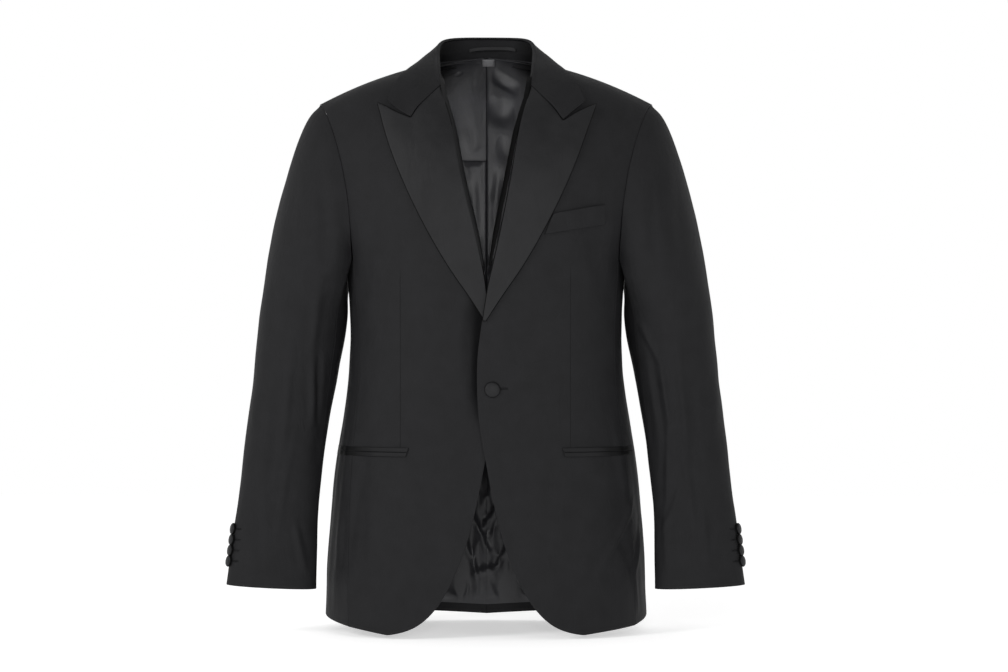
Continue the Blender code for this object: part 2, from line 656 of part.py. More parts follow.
def add_collar(tree, lapel):
    """The collar leaf and the stand, each in one piece round the neck."""
    leaf, turns = collar_rows(COLLAR_ROWS)
    # The first row follows the gorge to the notch, then the collar's own front edge to its tip.
    start, notch, tip = (np.array(corner) + GORGE_GAP for corner in (GORGE_START, NOTCH, COLLAR_TIP))
    gorge = [start + (notch - start) * way for way in (0.25, 0.5, 0.75, 1)]
    front = [notch + (tip - notch) * way for way in (0.5, 1)]
    crest = lapel[-1, 0] + (GORGE_GAP[0], 0, GORGE_GAP[1])
    bends = np.linspace(radians(60), 0, FOLD_COLUMNS)[:, None]
    bent = np.concatenate((-np.sin(bends), 1 - np.cos(bends), 0 * bends), axis=1)
    leaf[0, :FOLD_COLUMNS] = crest + bent * FOLD_RADIUS
    places = list(zip(gorge + front, COLLAR_LIFTS))
    leaf[0, FOLD_COLUMNS:] = [on_front(tree, *place, lift) for place, lift in places]
    direction = normals(leaf)
    direction[1:, :FOLD_COLUMNS] = turns[1:]
    direction[0, FOLD_COLUMNS:] = [on_front(tree, *place, lift + 1) for place, lift in places]
    direction[0, FOLD_COLUMNS:] -= leaf[0, FOLD_COLUMNS:]
    under = leaf - direction * CLOTH
    stand_off(tree, under[:, :FOLD_COLUMNS], FOLD_CLEARANCE)
    stand_off(tree, under[:, FOLD_COLUMNS:], FALL_CLEARANCE)
    leaf = under + direction * CLOTH
    whole = np.concatenate((leaf * (-1, 1, 1), leaf[-2::-1]))
    whole_out = np.concatenate((direction * (-1, 1, 1), direction[-2::-1]))
    wall("collar_leaf", whole, -whole_out * CLOTH, WOOL)
    rows = []
    neck = [(line[1], line[3], line[0]) for line in ROLL_HIGH[3:-1]] + list(NECK_BACK)[::-1]
    seam = along(neck, np.linspace(0, 1, 60))
    for share, row in zip(np.linspace(0, 1, COLLAR_ROWS + 1), leaf):
        if share >= STAND_START:
            beside = np.linalg.norm(seam[:, :2] - row[0][:2] * STAND_SPREAD, axis=1)
            base = seam[np.argmin(beside)]
            inward = unit(np.array((-base[0], -base[1] + 10, 0)))
            low = base + inward * (CLOTH + STAND_FOOT_IN) + (0, 0, STAND_FOOT_UP)
            high = row[0] - (0, 0, STAND_DROP)
            rows.append([high + (low - high) * way for way in STAND_LEVELS])
    stand = np.array(rows)
    out = normals(stand)
    whole = np.concatenate((stand * (-1, 1, 1), stand[-2::-1]))
    whole_out = np.concatenate((out * (-1, 1, 1), out[-2::-1]))
    wall("collar_stand", whole, whole_out * CLOTH, WOOL)
    return whole


def add_jets(side):
    """Two satin jets, one above the other, laid round the front and side."""
    heights = {"upper": JET_MIDDLE + JET_HEIGHT / 2 + 0.2, "lower": JET_MIDDLE - JET_HEIGHT / 2 - 0.2}
    half, front, _ = read(BODY_SECTIONS, JET_MIDDLE)
    shares = np.linspace(JET_START / half, 1, 80)
    x = half * shares
    line = np.stack([x, body_depth(x, JET_MIDDLE, False)], axis=-1)
    length = np.concatenate(([0], np.cumsum(np.linalg.norm(np.diff(line, axis=0), axis=1))))
    at = np.linspace(0, JET_LENGTH, 13)
    route = np.stack([np.interp(at, length, line[:, axis]) for axis in (0, 1)], axis=-1)
    for name, middle in heights.items():
        rows = []
        for level in (middle - JET_HEIGHT / 2, middle + JET_HEIGHT / 2):
            y = route[:, 1]
            rows.append(np.stack([body_width(y, np.full(len(y), level)), y, np.full(len(y), level)], axis=-1))
        face = np.array(rows)
        out = unit(normals(face) * (1, 1, 0))
        face = face + out * (TRIM_LIFT + JET_THICK)
        wall(f"hip_jet_{name}_{side}", face, -out * JET_THICK, SATIN, SIDES[side])


def add_welt(tree):
    """The breast welt on the wearer's left."""
    top_in, top_out, low_out, low_in = (np.array(corner, float) for corner in WELT_CORNERS)
    rows = []
    for way in (0, 0.5, 1):
        start, end = low_in + (top_in - low_in) * way, low_out + (top_out - low_out) * way
        line = start + (end - start) * np.linspace(0, 1, 7)[:, None]
        rows.append([on_front(tree, *place, TRIM_LIFT + CLOTH) for place in line])
    face = np.array(rows)
    wall("breast_welt", face, -normals(face) * CLOTH, WOOL)


def turned(name, radius, height, place, direction, look):
    """A covered button: a low dome on a short shank, turned about its own axis."""
    shank, rise = BUTTON_SHANK
    dome = [(reach * radius, rise + level * height) for reach, level in BUTTON_DOME]
    shape = bmesh.new()
    rings = []
    for reach, level in [(shank, 0), (shank, rise)] + dome:
        turns = [2 * pi * step / BUTTON_SIDES for step in range(BUTTON_SIDES)]
        rings.append([shape.verts.new(Vector((reach * cos(a), reach * sin(a), level)) * MM) for a in turns])
    for lower, upper in zip(rings, rings[1:]):
        for step in range(BUTTON_SIDES):
            after = (step + 1) % BUTTON_SIDES
            shape.faces.new((lower[step], lower[after], upper[after], upper[step]))
    shape.faces.new(rings[0][::-1])
    shape.faces.new(rings[-1])
    button = add_object(name, shape, look, 50)
    button.location = Vector(place) * MM
    button.rotation_mode = "QUATERNION"
    button.rotation_quaternion = Vector(direction).to_track_quat("Z", "Y")


def add_front_button(tree):
    base = on_front(tree, *FRONT_BUTTON_PLACE, SEAM_GAP + 0.2)
    turned("front_button", FRONT_BUTTON / 2, FRONT_BUTTON_HEIGHT, base, (0, -1, 0), WOOL)


def add_cuff_buttons(tree):
    for side, sign in SIDES.items():
        for number, height in enumerate(CUFF_BUTTONS, 1):
            angles = np.array([CUFF_BUTTON_ANGLE - 0.05, CUFF_BUTTON_ANGLE + 0.05])
            (here, ahead), (above, _) = sleeve_ring(height, angles), sleeve_ring(height + 10, angles)
            out = unit(np.cross(above - here, ahead - here))
            out = out * np.sign(out[0])
            place, _, _, _ = tree.ray_cast(Vector(here + out * 20), Vector(-out))
            base = np.array(place) + out * CUFF_BUTTON_LIFT
            turned(f"cuff_button_{side}_{number}", CUFF_BUTTON / 2, CUFF_BUTTON_HEIGHT,
                   base * (sign, 1, 1), out * (sign, 1, 1), WOOL)


def lining_face(side):
    """The side of the back lining that lies on the cloth, and the directions out of it."""
    face = half_panel(side, True, LINING_ROWS, YOKE_ROWS, LINING_COLUMNS)
    direction = -normals(face)
    direction[:, 0] = unit(direction[:, 0] * (0, 1, 1))
    face[0, :, 2] += LINING_HEM
    face = face - direction * LINING_DEPTH
    face[:, -1] += unit(face[:, -2] - face[:, -1]) * LINING_INSET
    face[-1] += unit(face[-2] - face[-1]) * LINING_INSET
    return face, direction


def add_lining():
    """The back lining in two halves. Returns the faces that show inside."""
    shown = []
    for side, sign in SIDES.items():
        face, direction = lining_face(side)
        cloth_wall(f"lining_back_{side}", face, direction, LINING, ("first column",), LINING_CLOTH, sign)
        shown.append((face - direction * LINING) * (sign, 1, 1))
    return shown


def add_flap():
    """The layer of lining that hangs over the upper right of the back, with a free lower edge."""
    face, direction = lining_face("right")
    columns = []
    for column in range(FLAP_COLUMNS + 1):
        line, out = face[:, column], direction[:, column]
        first = np.interp(FLAP_END, line[:, 2], np.arange(len(line)))
        at = np.linspace(first, len(line) - 1.4, FLAP_ROWS + 1)
        rows = np.arange(len(line))
        points, ways = (np.stack([np.interp(at, rows, part[:, axis]) for axis in range(3)], axis=-1)
                        for part in (line, out))
        columns.append(points - unit(ways) * FLAP_DEPTH)
    layer = np.stack(columns, axis=1)
    inward = normals(layer) * LINING
    wall("lining_flap", layer, inward, LINING_CLOTH, SIDES["right"])
    return (layer + inward) * (SIDES["right"], 1, 1)


def add_hanger_loop(stand):
    """A bowed loop of cloth across the inside of the stand."""
    tree = tree_of([stand])
    rows = []
    for way in np.linspace(0, 1, LOOP_STEPS + 1):
        x = LOOP_MIDDLE[0] + LOOP_LENGTH * (way - 0.5)
        bow = sin(pi * way) ** 0.6
        height = LOOP_MIDDLE[1] + LOOP_BOW * (bow - 0.5)
        low, high = height - LOOP_WIDTH / 2, height + LOOP_WIDTH / 2
        behind = min(tree.ray_cast(Vector((x, 0, level)), Vector((0, 1, 0)))[0][1] for level in (low, high))
        y = behind - LOOP_CLEARANCE - LOOP_THICK - LOOP_STAND_OFF * sin(pi * way)
        rows.append([(x, y, low), (x, y, high)])
    wall("hanger_loop", np.array(rows), np.array((0, LOOP_THICK, 0)), WOOL)


def add_tab(shown):
    """A plain tab below the neck seam, straight across whatever hangs behind it."""
    tree = tree_of(shown)
    (x, height), (width, depth) = TAB_MIDDLE, TAB_SIZE
    across = np.linspace(x - width / 2, x + width / 2, 4)
    rows = []
    for level in (height - depth / 2, height + depth / 2):
        behind = min(tree.ray_cast(Vector((at, 0, level)), Vector((0, 1, 0)))[0][1] for at in across)
        rows.append([(at, behind - TRIM_LIFT - TAB_THICK, level) for at in across])
    wall("neck_tab", np.array(rows), np.array((0, TAB_THICK, 0)), TAB_CLOTH)


for half in SIDES:
    panels, ways_out = shell_panels(half)
    add_shell(half, panels, ways_out)
    front_tree = tree_of([panels["front"]])
    lapel_points = add_lapel(half, front_tree)
    add_facing(half, front_tree)
    add_jets(half)
    if half == "left":
        body_tree = tree_of([panels["front"], panels["side"], panels["back"]])
        stand_points = add_collar(body_tree, lapel_points)
        add_welt(front_tree)
        add_front_button(front_tree)
        add_cuff_buttons(tree_of([panels["sleeve"]]))
lining_shown = add_lining()
flap_shown = add_flap()
add_hanger_loop(stand_points)
add_tab([*lining_shown, flap_shown])
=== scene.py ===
from itertools import combinations
from math import cos, pi, radians, sin

import bmesh
import bpy
import numpy as np
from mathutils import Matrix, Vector, noise
from mathutils.bvhtree import BVHTree


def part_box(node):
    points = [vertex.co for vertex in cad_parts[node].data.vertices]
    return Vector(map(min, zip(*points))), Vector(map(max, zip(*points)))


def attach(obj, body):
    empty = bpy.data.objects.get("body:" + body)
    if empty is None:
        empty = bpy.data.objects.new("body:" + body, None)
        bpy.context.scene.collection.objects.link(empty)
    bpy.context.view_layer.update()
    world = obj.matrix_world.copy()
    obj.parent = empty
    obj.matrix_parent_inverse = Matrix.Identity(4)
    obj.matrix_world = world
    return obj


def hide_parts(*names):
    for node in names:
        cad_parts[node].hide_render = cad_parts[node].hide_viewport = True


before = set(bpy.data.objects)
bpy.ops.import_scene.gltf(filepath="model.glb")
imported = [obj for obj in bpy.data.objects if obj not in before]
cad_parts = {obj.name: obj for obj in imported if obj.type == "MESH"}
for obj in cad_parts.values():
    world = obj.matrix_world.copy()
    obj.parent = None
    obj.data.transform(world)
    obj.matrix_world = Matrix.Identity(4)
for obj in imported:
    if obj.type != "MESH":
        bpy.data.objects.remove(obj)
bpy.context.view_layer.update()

bpy.ops.object.select_all(action="DESELECT")

# The studio: a white floor that the jacket stands just above, a white room round it that is dimmer
# overhead and behind the camera, and soft panels of light. The camera looks level at the middle.
MM = 0.001
FLOOR_HEIGHT, FLOOR_GLOW, FLOOR_SIZE = -0.7765, 0.52, 6
CAMERA_PLACE, CAMERA_LENS = (0.0248, -3.6, -0.372), 93.3
ROOM_FRONT, ROOM_TOP = 0.35, 0.7
LIGHT_TARGET = (0, 0, -0.35)

bpy.ops.mesh.primitive_plane_add(size=FLOOR_SIZE, location=(0, 0, FLOOR_HEIGHT))
floor = bpy.context.object
floor.name = "studio_floor"
bpy.ops.object.transform_apply(location=True)
floor_paint = bpy.data.materials.new("white studio paint")
floor_paint.use_nodes = True
floor_shader = floor_paint.node_tree.nodes["Principled BSDF"]
floor_shader.inputs["Base Color"].default_value = (0.85, 0.85, 0.85, 1)
floor_shader.inputs["Roughness"].default_value = 0.9
floor_shader.inputs["Emission Color"].default_value = (1, 1, 1, 1)
floor_shader.inputs["Emission Strength"].default_value = FLOOR_GLOW
floor_paint.cycles.emission_sampling = "NONE"
floor.data.materials.append(floor_paint)

room = bpy.data.worlds.new("white room")
room.use_nodes = True
room_tree = room.node_tree
room_light = room_tree.nodes["Background"]
room_light.inputs["Color"].default_value = (1, 1, 1, 1)
look_way = room_tree.nodes.new("ShaderNodeTexCoord")
look_axes = room_tree.nodes.new("ShaderNodeSeparateXYZ")
room_tree.links.new(look_way.outputs["Generated"], look_axes.inputs[0])
fades = []
for axis, start, end, low in (("Y", -0.6, 0.5, ROOM_FRONT), ("Z", 0.8, 0.1, ROOM_TOP)):
    fade = room_tree.nodes.new("ShaderNodeMapRange")
    for key, value in (("From Min", start), ("From Max", end), ("To Min", low), ("To Max", 1.0)):
        fade.inputs[key].default_value = value
    room_tree.links.new(look_axes.outputs[axis], fade.inputs["Value"])
    fades.append(fade.outputs[0])
seen = room_tree.nodes.new("ShaderNodeLightPath").outputs["Is Camera Ray"]
strength = room_tree.nodes.new("ShaderNodeMath")
strength.operation = "MULTIPLY"
room_tree.links.new(fades[0], strength.inputs[0])
room_tree.links.new(fades[1], strength.inputs[1])
bright = room_tree.nodes.new("ShaderNodeMath")
bright.operation = "MAXIMUM"
room_tree.links.new(strength.outputs[0], bright.inputs[0])
room_tree.links.new(seen, bright.inputs[1])
room_tree.links.new(bright.outputs[0], room_light.inputs["Strength"])
bpy.context.scene.world = room
bpy.context.scene.view_settings.view_transform = "Standard"

# Panels of light: name, place, size, power in watts
for name, place, size, power in (
        ("left_panel", (-2.7, -2.2, 1.1), 0.9, 52),
        ("right_panel", (2.3, -2.6, 0.6), 1.8, 17),
        ("front_panel", (0.05, -3.5, 0.15), 0.5, 27)):
    bpy.ops.object.light_add(type="AREA", location=place)
    panel = bpy.context.object
    panel.name = name
    panel.data.size = size
    panel.data.energy = power
    panel.rotation_euler = (Vector(LIGHT_TARGET) - Vector(place)).to_track_quat("-Z", "Y").to_euler()

bpy.ops.object.camera_add(location=CAMERA_PLACE, rotation=(pi / 2, 0, 0))
bpy.context.object.data.lens = CAMERA_LENS
bpy.context.scene.camera = bpy.context.object
bpy.ops.object.select_all(action="DESELECT")


# The shell: fronts, side bodies and backs in fine black wool, cut apart and sewn edge to edge. Each
# starts from its solid, which is rounded, and then takes the folds that the cloth falls into when worn.
WOOL_COLOUR = (0.0105, 0.0105, 0.0114)
BODY_AXIS_Y = 8
BODY_HALF_WIDTH, BODY_HALF_DEPTH = 205, 122
BODY_RADIUS = 165
# Folds of the body. The turn is in degrees from the middle of the front towards the wearer's left.
# Turn, height, turn, height, half width, rise (below 0 it is a trough)
BODY_FOLDS = (
    (-70, -470, -72, -752, 9, 2.4),
    (-62, -498, -58, -716, 13, -2.6),
    (-80, -455, -83, -748, 11, -2.0),
    (-92, -430, -95, -745, 12, 1.8),
    (67, -462, 70, -640, 10, 1.5),
    (76, -505, 80, -752, 10, -1.3),
    (88, -425, 92, -742, 13, 1.2),
    (52, -692, 75, -588, 5, 3.2),
    (64, -640, 70, -706, 9, -2.6),
    (70, -700, 79, -626, 5, 3.2),
    (71, -688, 72, -750, 5, 2.2),
    (56, -704, 63, -664, 8, -1.4),
    (-70, -612, -70, -694, 7, 2.4),
    (-63, -560, -64, -704, 8, -2.0),
    (36, -690, 52, -560, 14, -1.1),
    (4, -434, 38, -404, 9, 1.2),
    (5, -446, 36, -428, 8, -1.1),
    (8, -458, 34, -470, 9, 1.0),
    (-9, -330, -12, -430, 11, -2.4),
    (-6, -436, -26, -414, 8, -0.7),
    (-8, -452, -32, -470, 10, 0.6),
    (48, -150, 62, -330, 15, -1.7),
    (-50, -140, -64, -322, 15, -1.6),
    (38, -95, 52, -190, 16, 1.0),
    (-38, -90, -54, -196, 16, 1.0),
    (60, -330, 50, -440, 18, 0.9),
    (-62, -318, -50, -430, 18, 0.9),
    (128, -420, 124, -748, 14, -2.2),
    (141, -470, 138, -752, 13, 1.8),
    (-127, -410, -122, -746, 15, -2.1),
    (-143, -460, -139, -750, 12, 1.9),
    (166, -500, 163, -755, 14, -1.4),
    (-168, -520, -164, -758, 14, -1.3),
    (150, -60, 210, -66, 10, -1.3),
    (148, -95, 176, -150, 16, 1.0),
    (-148, -92, -175, -146, 16, 1.0),
    (122, -120, 134, -300, 18, -2.0),
    (-121, -124, -135, -306, 18, -2.0),
    (132, -360, 166, -400, 14, -1.2),
    (-130, -352, -164, -396, 14, -1.2),
)
# Slow waves in the cloth: size of the waves and how far they rise
SLOW_WAVES = ((70, 0.75), (31, 0.3))
SHARPEST_CURVE = 140
CENTRE_SEAM = 0.6
# The right front falls back beside the edge of the left one, just above the button
OVERLAP_PLACE, OVERLAP_HALF, OVERLAP_DIP = 2, 19, 17
OVERLAP_FOOT, OVERLAP_HEAD = (-500, -440), (300, 345)
# How much the stiffened shoulder calms the folds, and what is left of them at the front edge
SHOULDER_CALM, SHOULDER_SPAN = 0.8, (-120, -40)
FRONT_SHARE, FRONT_SPAN = 0.25, (12, 60)
# Where the lining starts above the hem, beside the facing and in the cuff
HEM_LINED, FACING_LINED, CUFF_LINED = -738, 75, -690


def finish_copy(node, name, rounds, crease=0.9, sharp=64, corner_hold=1.0):
    """A copy of a node's solid with its edges kept and its faces rounded by subdivision."""
    piece = bpy.data.objects.new(name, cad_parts[node].data.copy())
    bpy.context.scene.collection.objects.link(piece)
    piece.data.materials.clear()
    shape = bmesh.new()
    shape.from_mesh(piece.data)
    bmesh.ops.remove_doubles(shape, verts=shape.verts, dist=0.02 * MM)
    bmesh.ops.join_triangles(
        shape, faces=shape.faces, cmp_seam=False, cmp_sharp=False, cmp_uvs=False, cmp_vcols=False,
        cmp_materials=False, angle_face_threshold=radians(75), angle_shape_threshold=radians(175))
    edge_crease = shape.edges.layers.float.new("crease_edge")
    corner_crease = shape.verts.layers.float.new("crease_vert")
    for edge in shape.edges:
        if edge.is_manifold and edge.calc_face_angle() > radians(sharp):
            edge[edge_crease] = crease
    # Where the creased edges turn sharply, as at a peak or notch, the corner stays sharp too.
    for corner in shape.verts:
        ways = [edge.other_vert(corner).co - corner.co for edge in corner.link_edges if edge[edge_crease] > 0]
        if len(ways) > 1 and all(a.angle(b) < radians(SHARPEST_CURVE) for a, b in combinations(ways, 2)):
            corner[corner_crease] = corner_hold
    shape.to_mesh(piece.data)
    shape.free()
    bpy.context.view_layer.objects.active = piece
    piece.select_set(True)
    rounder = piece.modifiers.new("rounding", "SUBSURF")
    rounder.levels = rounder.render_levels = rounds
    bpy.ops.object.modifier_apply(modifier=rounder.name)
    piece.data.shade_smooth()
    piece.select_set(False)
    return piece


def points_of(piece):
    """The points of a piece in millimetres."""
    points = np.empty(len(piece.data.vertices) * 3)
    piece.data.vertices.foreach_get("co", points)
    return points.reshape(-1, 3) / MM


def set_points(piece, points):
    piece.data.vertices.foreach_set("co", (points * MM).ravel())
    piece.data.update()


def step(value, start, end):
    """0 before start, 1 past end, and a soft step between them."""
    t = np.clip((value - start) / (end - start), 0, 1)
    return t * t * (3 - 2 * t)


def body_turn(points):
    return np.arctan2(points[:, 0], BODY_AXIS_Y - points[:, 1])


def body_outward(points):
    """The way out of the body at each point, the same for both faces of the cloth."""
    out = np.stack([
        points[:, 0] / BODY_HALF_WIDTH**2, (points[:, 1] - BODY_AXIS_Y) / BODY_HALF_DEPTH**2,
        0.011 * step(points[:, 2], -190, -40)], axis=1)
    return out / np.linalg.norm(out, axis=1, keepdims=True)


def fold_rise(turn, height, folds, radius):
    """How far the folds lift the cloth at a turn and height. Each is a ridge with hollows beside it."""
    rise = np.zeros(len(turn))
    for first_turn, first_height, last_turn, last_height, half, lift in folds:
        across = (turn - radians(first_turn) + pi) % (2 * pi) - pi
        point = np.stack([across * radius, height - first_height], axis=1)
        run = np.array((radians(last_turn - first_turn) * radius, last_height - first_height))
        share = np.clip(point @ run / (run @ run), 0, 1)
        off = np.linalg.norm(point - share[:, None] * run, axis=1) / half
        rise += lift * np.sin(pi * share) ** 0.7 * (1 - off**2) * np.exp(-off**2)
    return rise


def wave_rise(points, waves, offset=0.0):
    """Slow, uneven waves over the cloth."""
    rise = np.zeros(len(points))
    for size, lift in waves:
        rise += lift * np.array([noise.noise(Vector(point) / size + Vector((offset, 3.1, 7.7)))
                                 for point in points])
    return rise


# The crest of the roll and of the collar's inner edge: height, x, y
CREST = (
    (-278, 4, -126), (-165, 28, -124), (-91, 45, -99), (-45, 60, -66), (-24, 63.5, -50), (-4, 64, -30),
    (8, 69, 16))
# The roll on the wearer's right runs straighter to the button than the left one: middle, reach, half
# width, move
ROLL_MIDDLE, ROLL_REACH, ROLL_HALF, ROLL_MOVE = -168, 75, 30, 5.5


def crest_x(height):
    table = np.array(CREST, float)
    return np.interp(height, table[:, 0], table[:, 1])


def straighten_roll(points):
    beside = np.exp(-((-points[:, 0] - crest_x(points[:, 2])) / ROLL_HALF) ** 2) * (points[:, 1] < 0)
    points[:, 0] -= ROLL_MOVE * beside * np.exp(-((points[:, 2] - ROLL_MIDDLE) / ROLL_REACH) ** 2)


# Grain, weave and slow change of tone, which every cloth of the jacket shares
grain = bpy.data.node_groups.new("cloth grain", "ShaderNodeTree")
for name, default in (("Thread", 0.55), ("Contrast", 0.5), ("Mottle size", 60.0)):
    grain.interface.new_socket(name, in_out="INPUT", socket_type="NodeSocketFloat").default_value = default
for name in ("Tone", "Height", "Mottle", "Rumple"):
    grain.interface.new_socket(name, in_out="OUTPUT", socket_type="NodeSocketFloat")


def add_node(tree, kind, settings=(), values=(), links=()):
    """A node with its settings, socket values and the links into its sockets."""
    node = tree.nodes.new(kind)
    for key, value in settings:
        setattr(node, key, value)
    for key, value in values:
        node.inputs[key].default_value = value
    for key, source in links:
        tree.links.new(source, node.inputs[key])
    return node


def sum_of(tree, operation, first, second):
    """A Math node on two sockets or numbers, as its output socket."""
    node = add_node(tree, "ShaderNodeMath", [("operation", operation)])
    for slot, value in zip(node.inputs, (first, second)):
        if isinstance(value, (int, float)):
            slot.default_value = value
        else:
            tree.links.new(value, slot)
    return node.outputs[0]


given = add_node(grain, "NodeGroupInput")
here = add_node(grain, "ShaderNodeTexCoord").outputs["Object"]
axes = add_node(grain, "ShaderNodeSeparateXYZ", links=[("Vector", here)])
pitch = sum_of(grain, "DIVIDE", 2 * pi / MM, given.outputs["Thread"])
slant = sum_of(grain, "ADD", sum_of(grain, "ADD", axes.outputs["X"], axes.outputs["Y"]), axes.outputs["Z"])
counter = sum_of(grain, "SUBTRACT", axes.outputs["Z"],
                 sum_of(grain, "MULTIPLY", sum_of(grain, "ADD", axes.outputs["X"], axes.outputs["Y"]), 0.35))
ribs = sum_of(grain, "SINE", sum_of(grain, "MULTIPLY", slant, pitch), 0)
cross = sum_of(grain, "SINE", sum_of(grain, "MULTIPLY", counter, sum_of(grain, "MULTIPLY", pitch, 0.8)), 0)
fuzz = add_node(grain, "ShaderNodeTexNoise", values=[("Scale", 1400.0), ("Detail", 3.0), ("Roughness", 0.7)],
                links=[("Vector", here)]).outputs["Fac"]
threads = sum_of(grain, "MULTIPLY", ribs, 0.25)
weave = sum_of(grain, "ADD", sum_of(grain, "ADD", threads, sum_of(grain, "MULTIPLY", cross, 0.12)),
               sum_of(grain, "MULTIPLY", fuzz, 0.7))
blotch_scale = sum_of(grain, "DIVIDE", 1 / MM, given.outputs["Mottle size"])
blotch = add_node(grain, "ShaderNodeTexNoise", values=[("Detail", 4.0), ("Roughness", 0.55)],
                  links=[("Vector", here), ("Scale", blotch_scale)]).outputs["Fac"]
tone = sum_of(grain, "ADD", sum_of(grain, "MULTIPLY", sum_of(grain, "SUBTRACT", weave, 0.35),
                                   given.outputs["Contrast"]), 1.0)
tone = sum_of(grain, "ADD", tone, sum_of(grain, "MULTIPLY", sum_of(grain, "SUBTRACT", blotch, 0.5), 0.7))
# Faint creases from wear: lines where a slow noise crosses its middle, drawn out down the cloth
drawn_out = add_node(grain, "ShaderNodeMapping", [], [("Scale", (1, 1, 0.45)), ("Rotation", (0.12, 0.2, 0))],
                     [("Vector", here)])
slow = add_node(grain, "ShaderNodeTexNoise", [], [("Scale", 34.0), ("Detail", 3.0), ("Distortion", 0.6)],
                [("Vector", drawn_out.outputs[0])]).outputs["Fac"]
rumple = sum_of(grain, "ABSOLUTE", sum_of(grain, "SUBTRACT", slow, 0.5), 0)
rumple = sum_of(grain, "POWER", sum_of(grain, "MULTIPLY", rumple, 3.0), 0.8)
leaving = add_node(grain, "NodeGroupOutput")
grain.links.new(tone, leaving.inputs["Tone"])
grain.links.new(weave, leaving.inputs["Height"])
grain.links.new(blotch, leaving.inputs["Mottle"])
grain.links.new(rumple, leaving.inputs["Rumple"])


def cloth_material(name, colour, roughness, thread, contrast, mottle, bump, gloss, rumple=0.0, spread=0.12,
                   line=None, shade=None):
    """A woven cloth. A line is a mask of a sewn line that lies lower, and a shade a mask of painted shade on
    its tone.
    """
    made = bpy.data.materials.new(name)
    made.use_nodes = True
    tree = made.node_tree
    shader = tree.nodes["Principled BSDF"]
    shader.inputs["Specular IOR Level"].default_value = gloss
    weave_node = add_node(tree, "ShaderNodeGroup", [("node_tree", grain)],
                          [("Thread", thread), ("Contrast", contrast), ("Mottle size", mottle)])
    toned = weave_node.outputs["Tone"]
    height = weave_node.outputs["Height"]
    if line is not None:
        mask = line(tree)
        kept = sum_of(tree, "SUBTRACT", 1.0, sum_of(tree, "MULTIPLY", mask, 0.55))
        toned = sum_of(tree, "MULTIPLY", toned, kept)
        height = sum_of(tree, "SUBTRACT", height, sum_of(tree, "MULTIPLY", mask, 5.0))
    if shade is not None:
        toned = sum_of(tree, "MULTIPLY", toned, shade(tree))
    tint = add_node(tree, "ShaderNodeVectorMath", [("operation", "SCALE")], [("Vector", colour)],
                    [("Scale", toned)])
    tree.links.new(tint.outputs["Vector"], shader.inputs["Base Color"])
    rough = sum_of(tree, "MULTIPLY", weave_node.outputs["Mottle"], spread)
    tree.links.new(sum_of(tree, "ADD", roughness - spread / 2, rough), shader.inputs["Roughness"])
    worn = add_node(tree, "ShaderNodeBump", values=[("Strength", rumple), ("Distance", 1.0 * MM)],
                    links=[("Height", weave_node.outputs["Rumple"])])
    relief = add_node(tree, "ShaderNodeBump", values=[("Strength", bump), ("Distance", 0.12 * MM)],
                      links=[("Height", height), ("Normal", worn.outputs["Normal"])])
    tree.links.new(relief.outputs["Normal"], shader.inputs["Normal"])
    return made


def axes_of(tree):
    """The x, y and z of each point of a cloth, in metres."""
    spot = add_node(tree, "ShaderNodeTexCoord").outputs["Object"]
    return add_node(tree, "ShaderNodeSeparateXYZ", links=[("Vector", spot)])


DART_PLACE, DART_HALF, DART_TOP, DART_FOOT, DART_FADE = 114, 0.75, -277, -521, 18


def dart_line(tree):
    """A mask of the front dart: a sewn line straight down from the chest to the pocket."""
    part = axes_of(tree)
    aside = sum_of(tree, "ABSOLUTE", part.outputs["X"], 0)
    away = sum_of(tree, "ABSOLUTE", sum_of(tree, "SUBTRACT", aside, DART_PLACE * MM), 0)
    beside = add_node(tree, "ShaderNodeMapRange", [("interpolation_type", "SMOOTHSTEP")],
                      [("From Min", DART_HALF * MM), ("From Max", DART_HALF * 0.2 * MM)], [("Value", away)])
    below = add_node(tree, "ShaderNodeMapRange", values=[
        ("From Min", DART_TOP * MM), ("From Max", (DART_TOP - DART_FADE) * MM)],
        links=[("Value", part.outputs["Z"])])
    above = sum_of(tree, "GREATER_THAN", part.outputs["Z"], DART_FOOT * MM)
    forward = sum_of(tree, "LESS_THAN", part.outputs["Y"], 0.0)
    shown = sum_of(tree, "MULTIPLY", sum_of(tree, "MULTIPLY", beside.outputs[0], below.outputs[0]), above)
    return sum_of(tree, "MULTIPLY", shown, forward)


PLEAT_LINE_HALF, PLEAT_LINE_FOOT = 0.8, -480


def pleat_line(tree):
    """A mask of the line where the two halves of the lining meet."""
    part = axes_of(tree)
    away = sum_of(tree, "ABSOLUTE", part.outputs["X"], 0)
    beside = add_node(tree, "ShaderNodeMapRange", [("interpolation_type", "SMOOTHSTEP")],
                      [("From Min", PLEAT_LINE_HALF * MM), ("From Max", 0)], [("Value", away)])
    above = sum_of(tree, "GREATER_THAN", part.outputs["Z"], PLEAT_LINE_FOOT * MM)
    return sum_of(tree, "MULTIPLY", beside.outputs[0], above)


# Painted shade in the neck corners: how far aside it starts and ends, how low and high, and how dark it gets
CORNER_START, CORNER_END, CORNER_LOW, CORNER_HIGH, CORNER_SHADE = 34, 64, -60, -15, 0.85


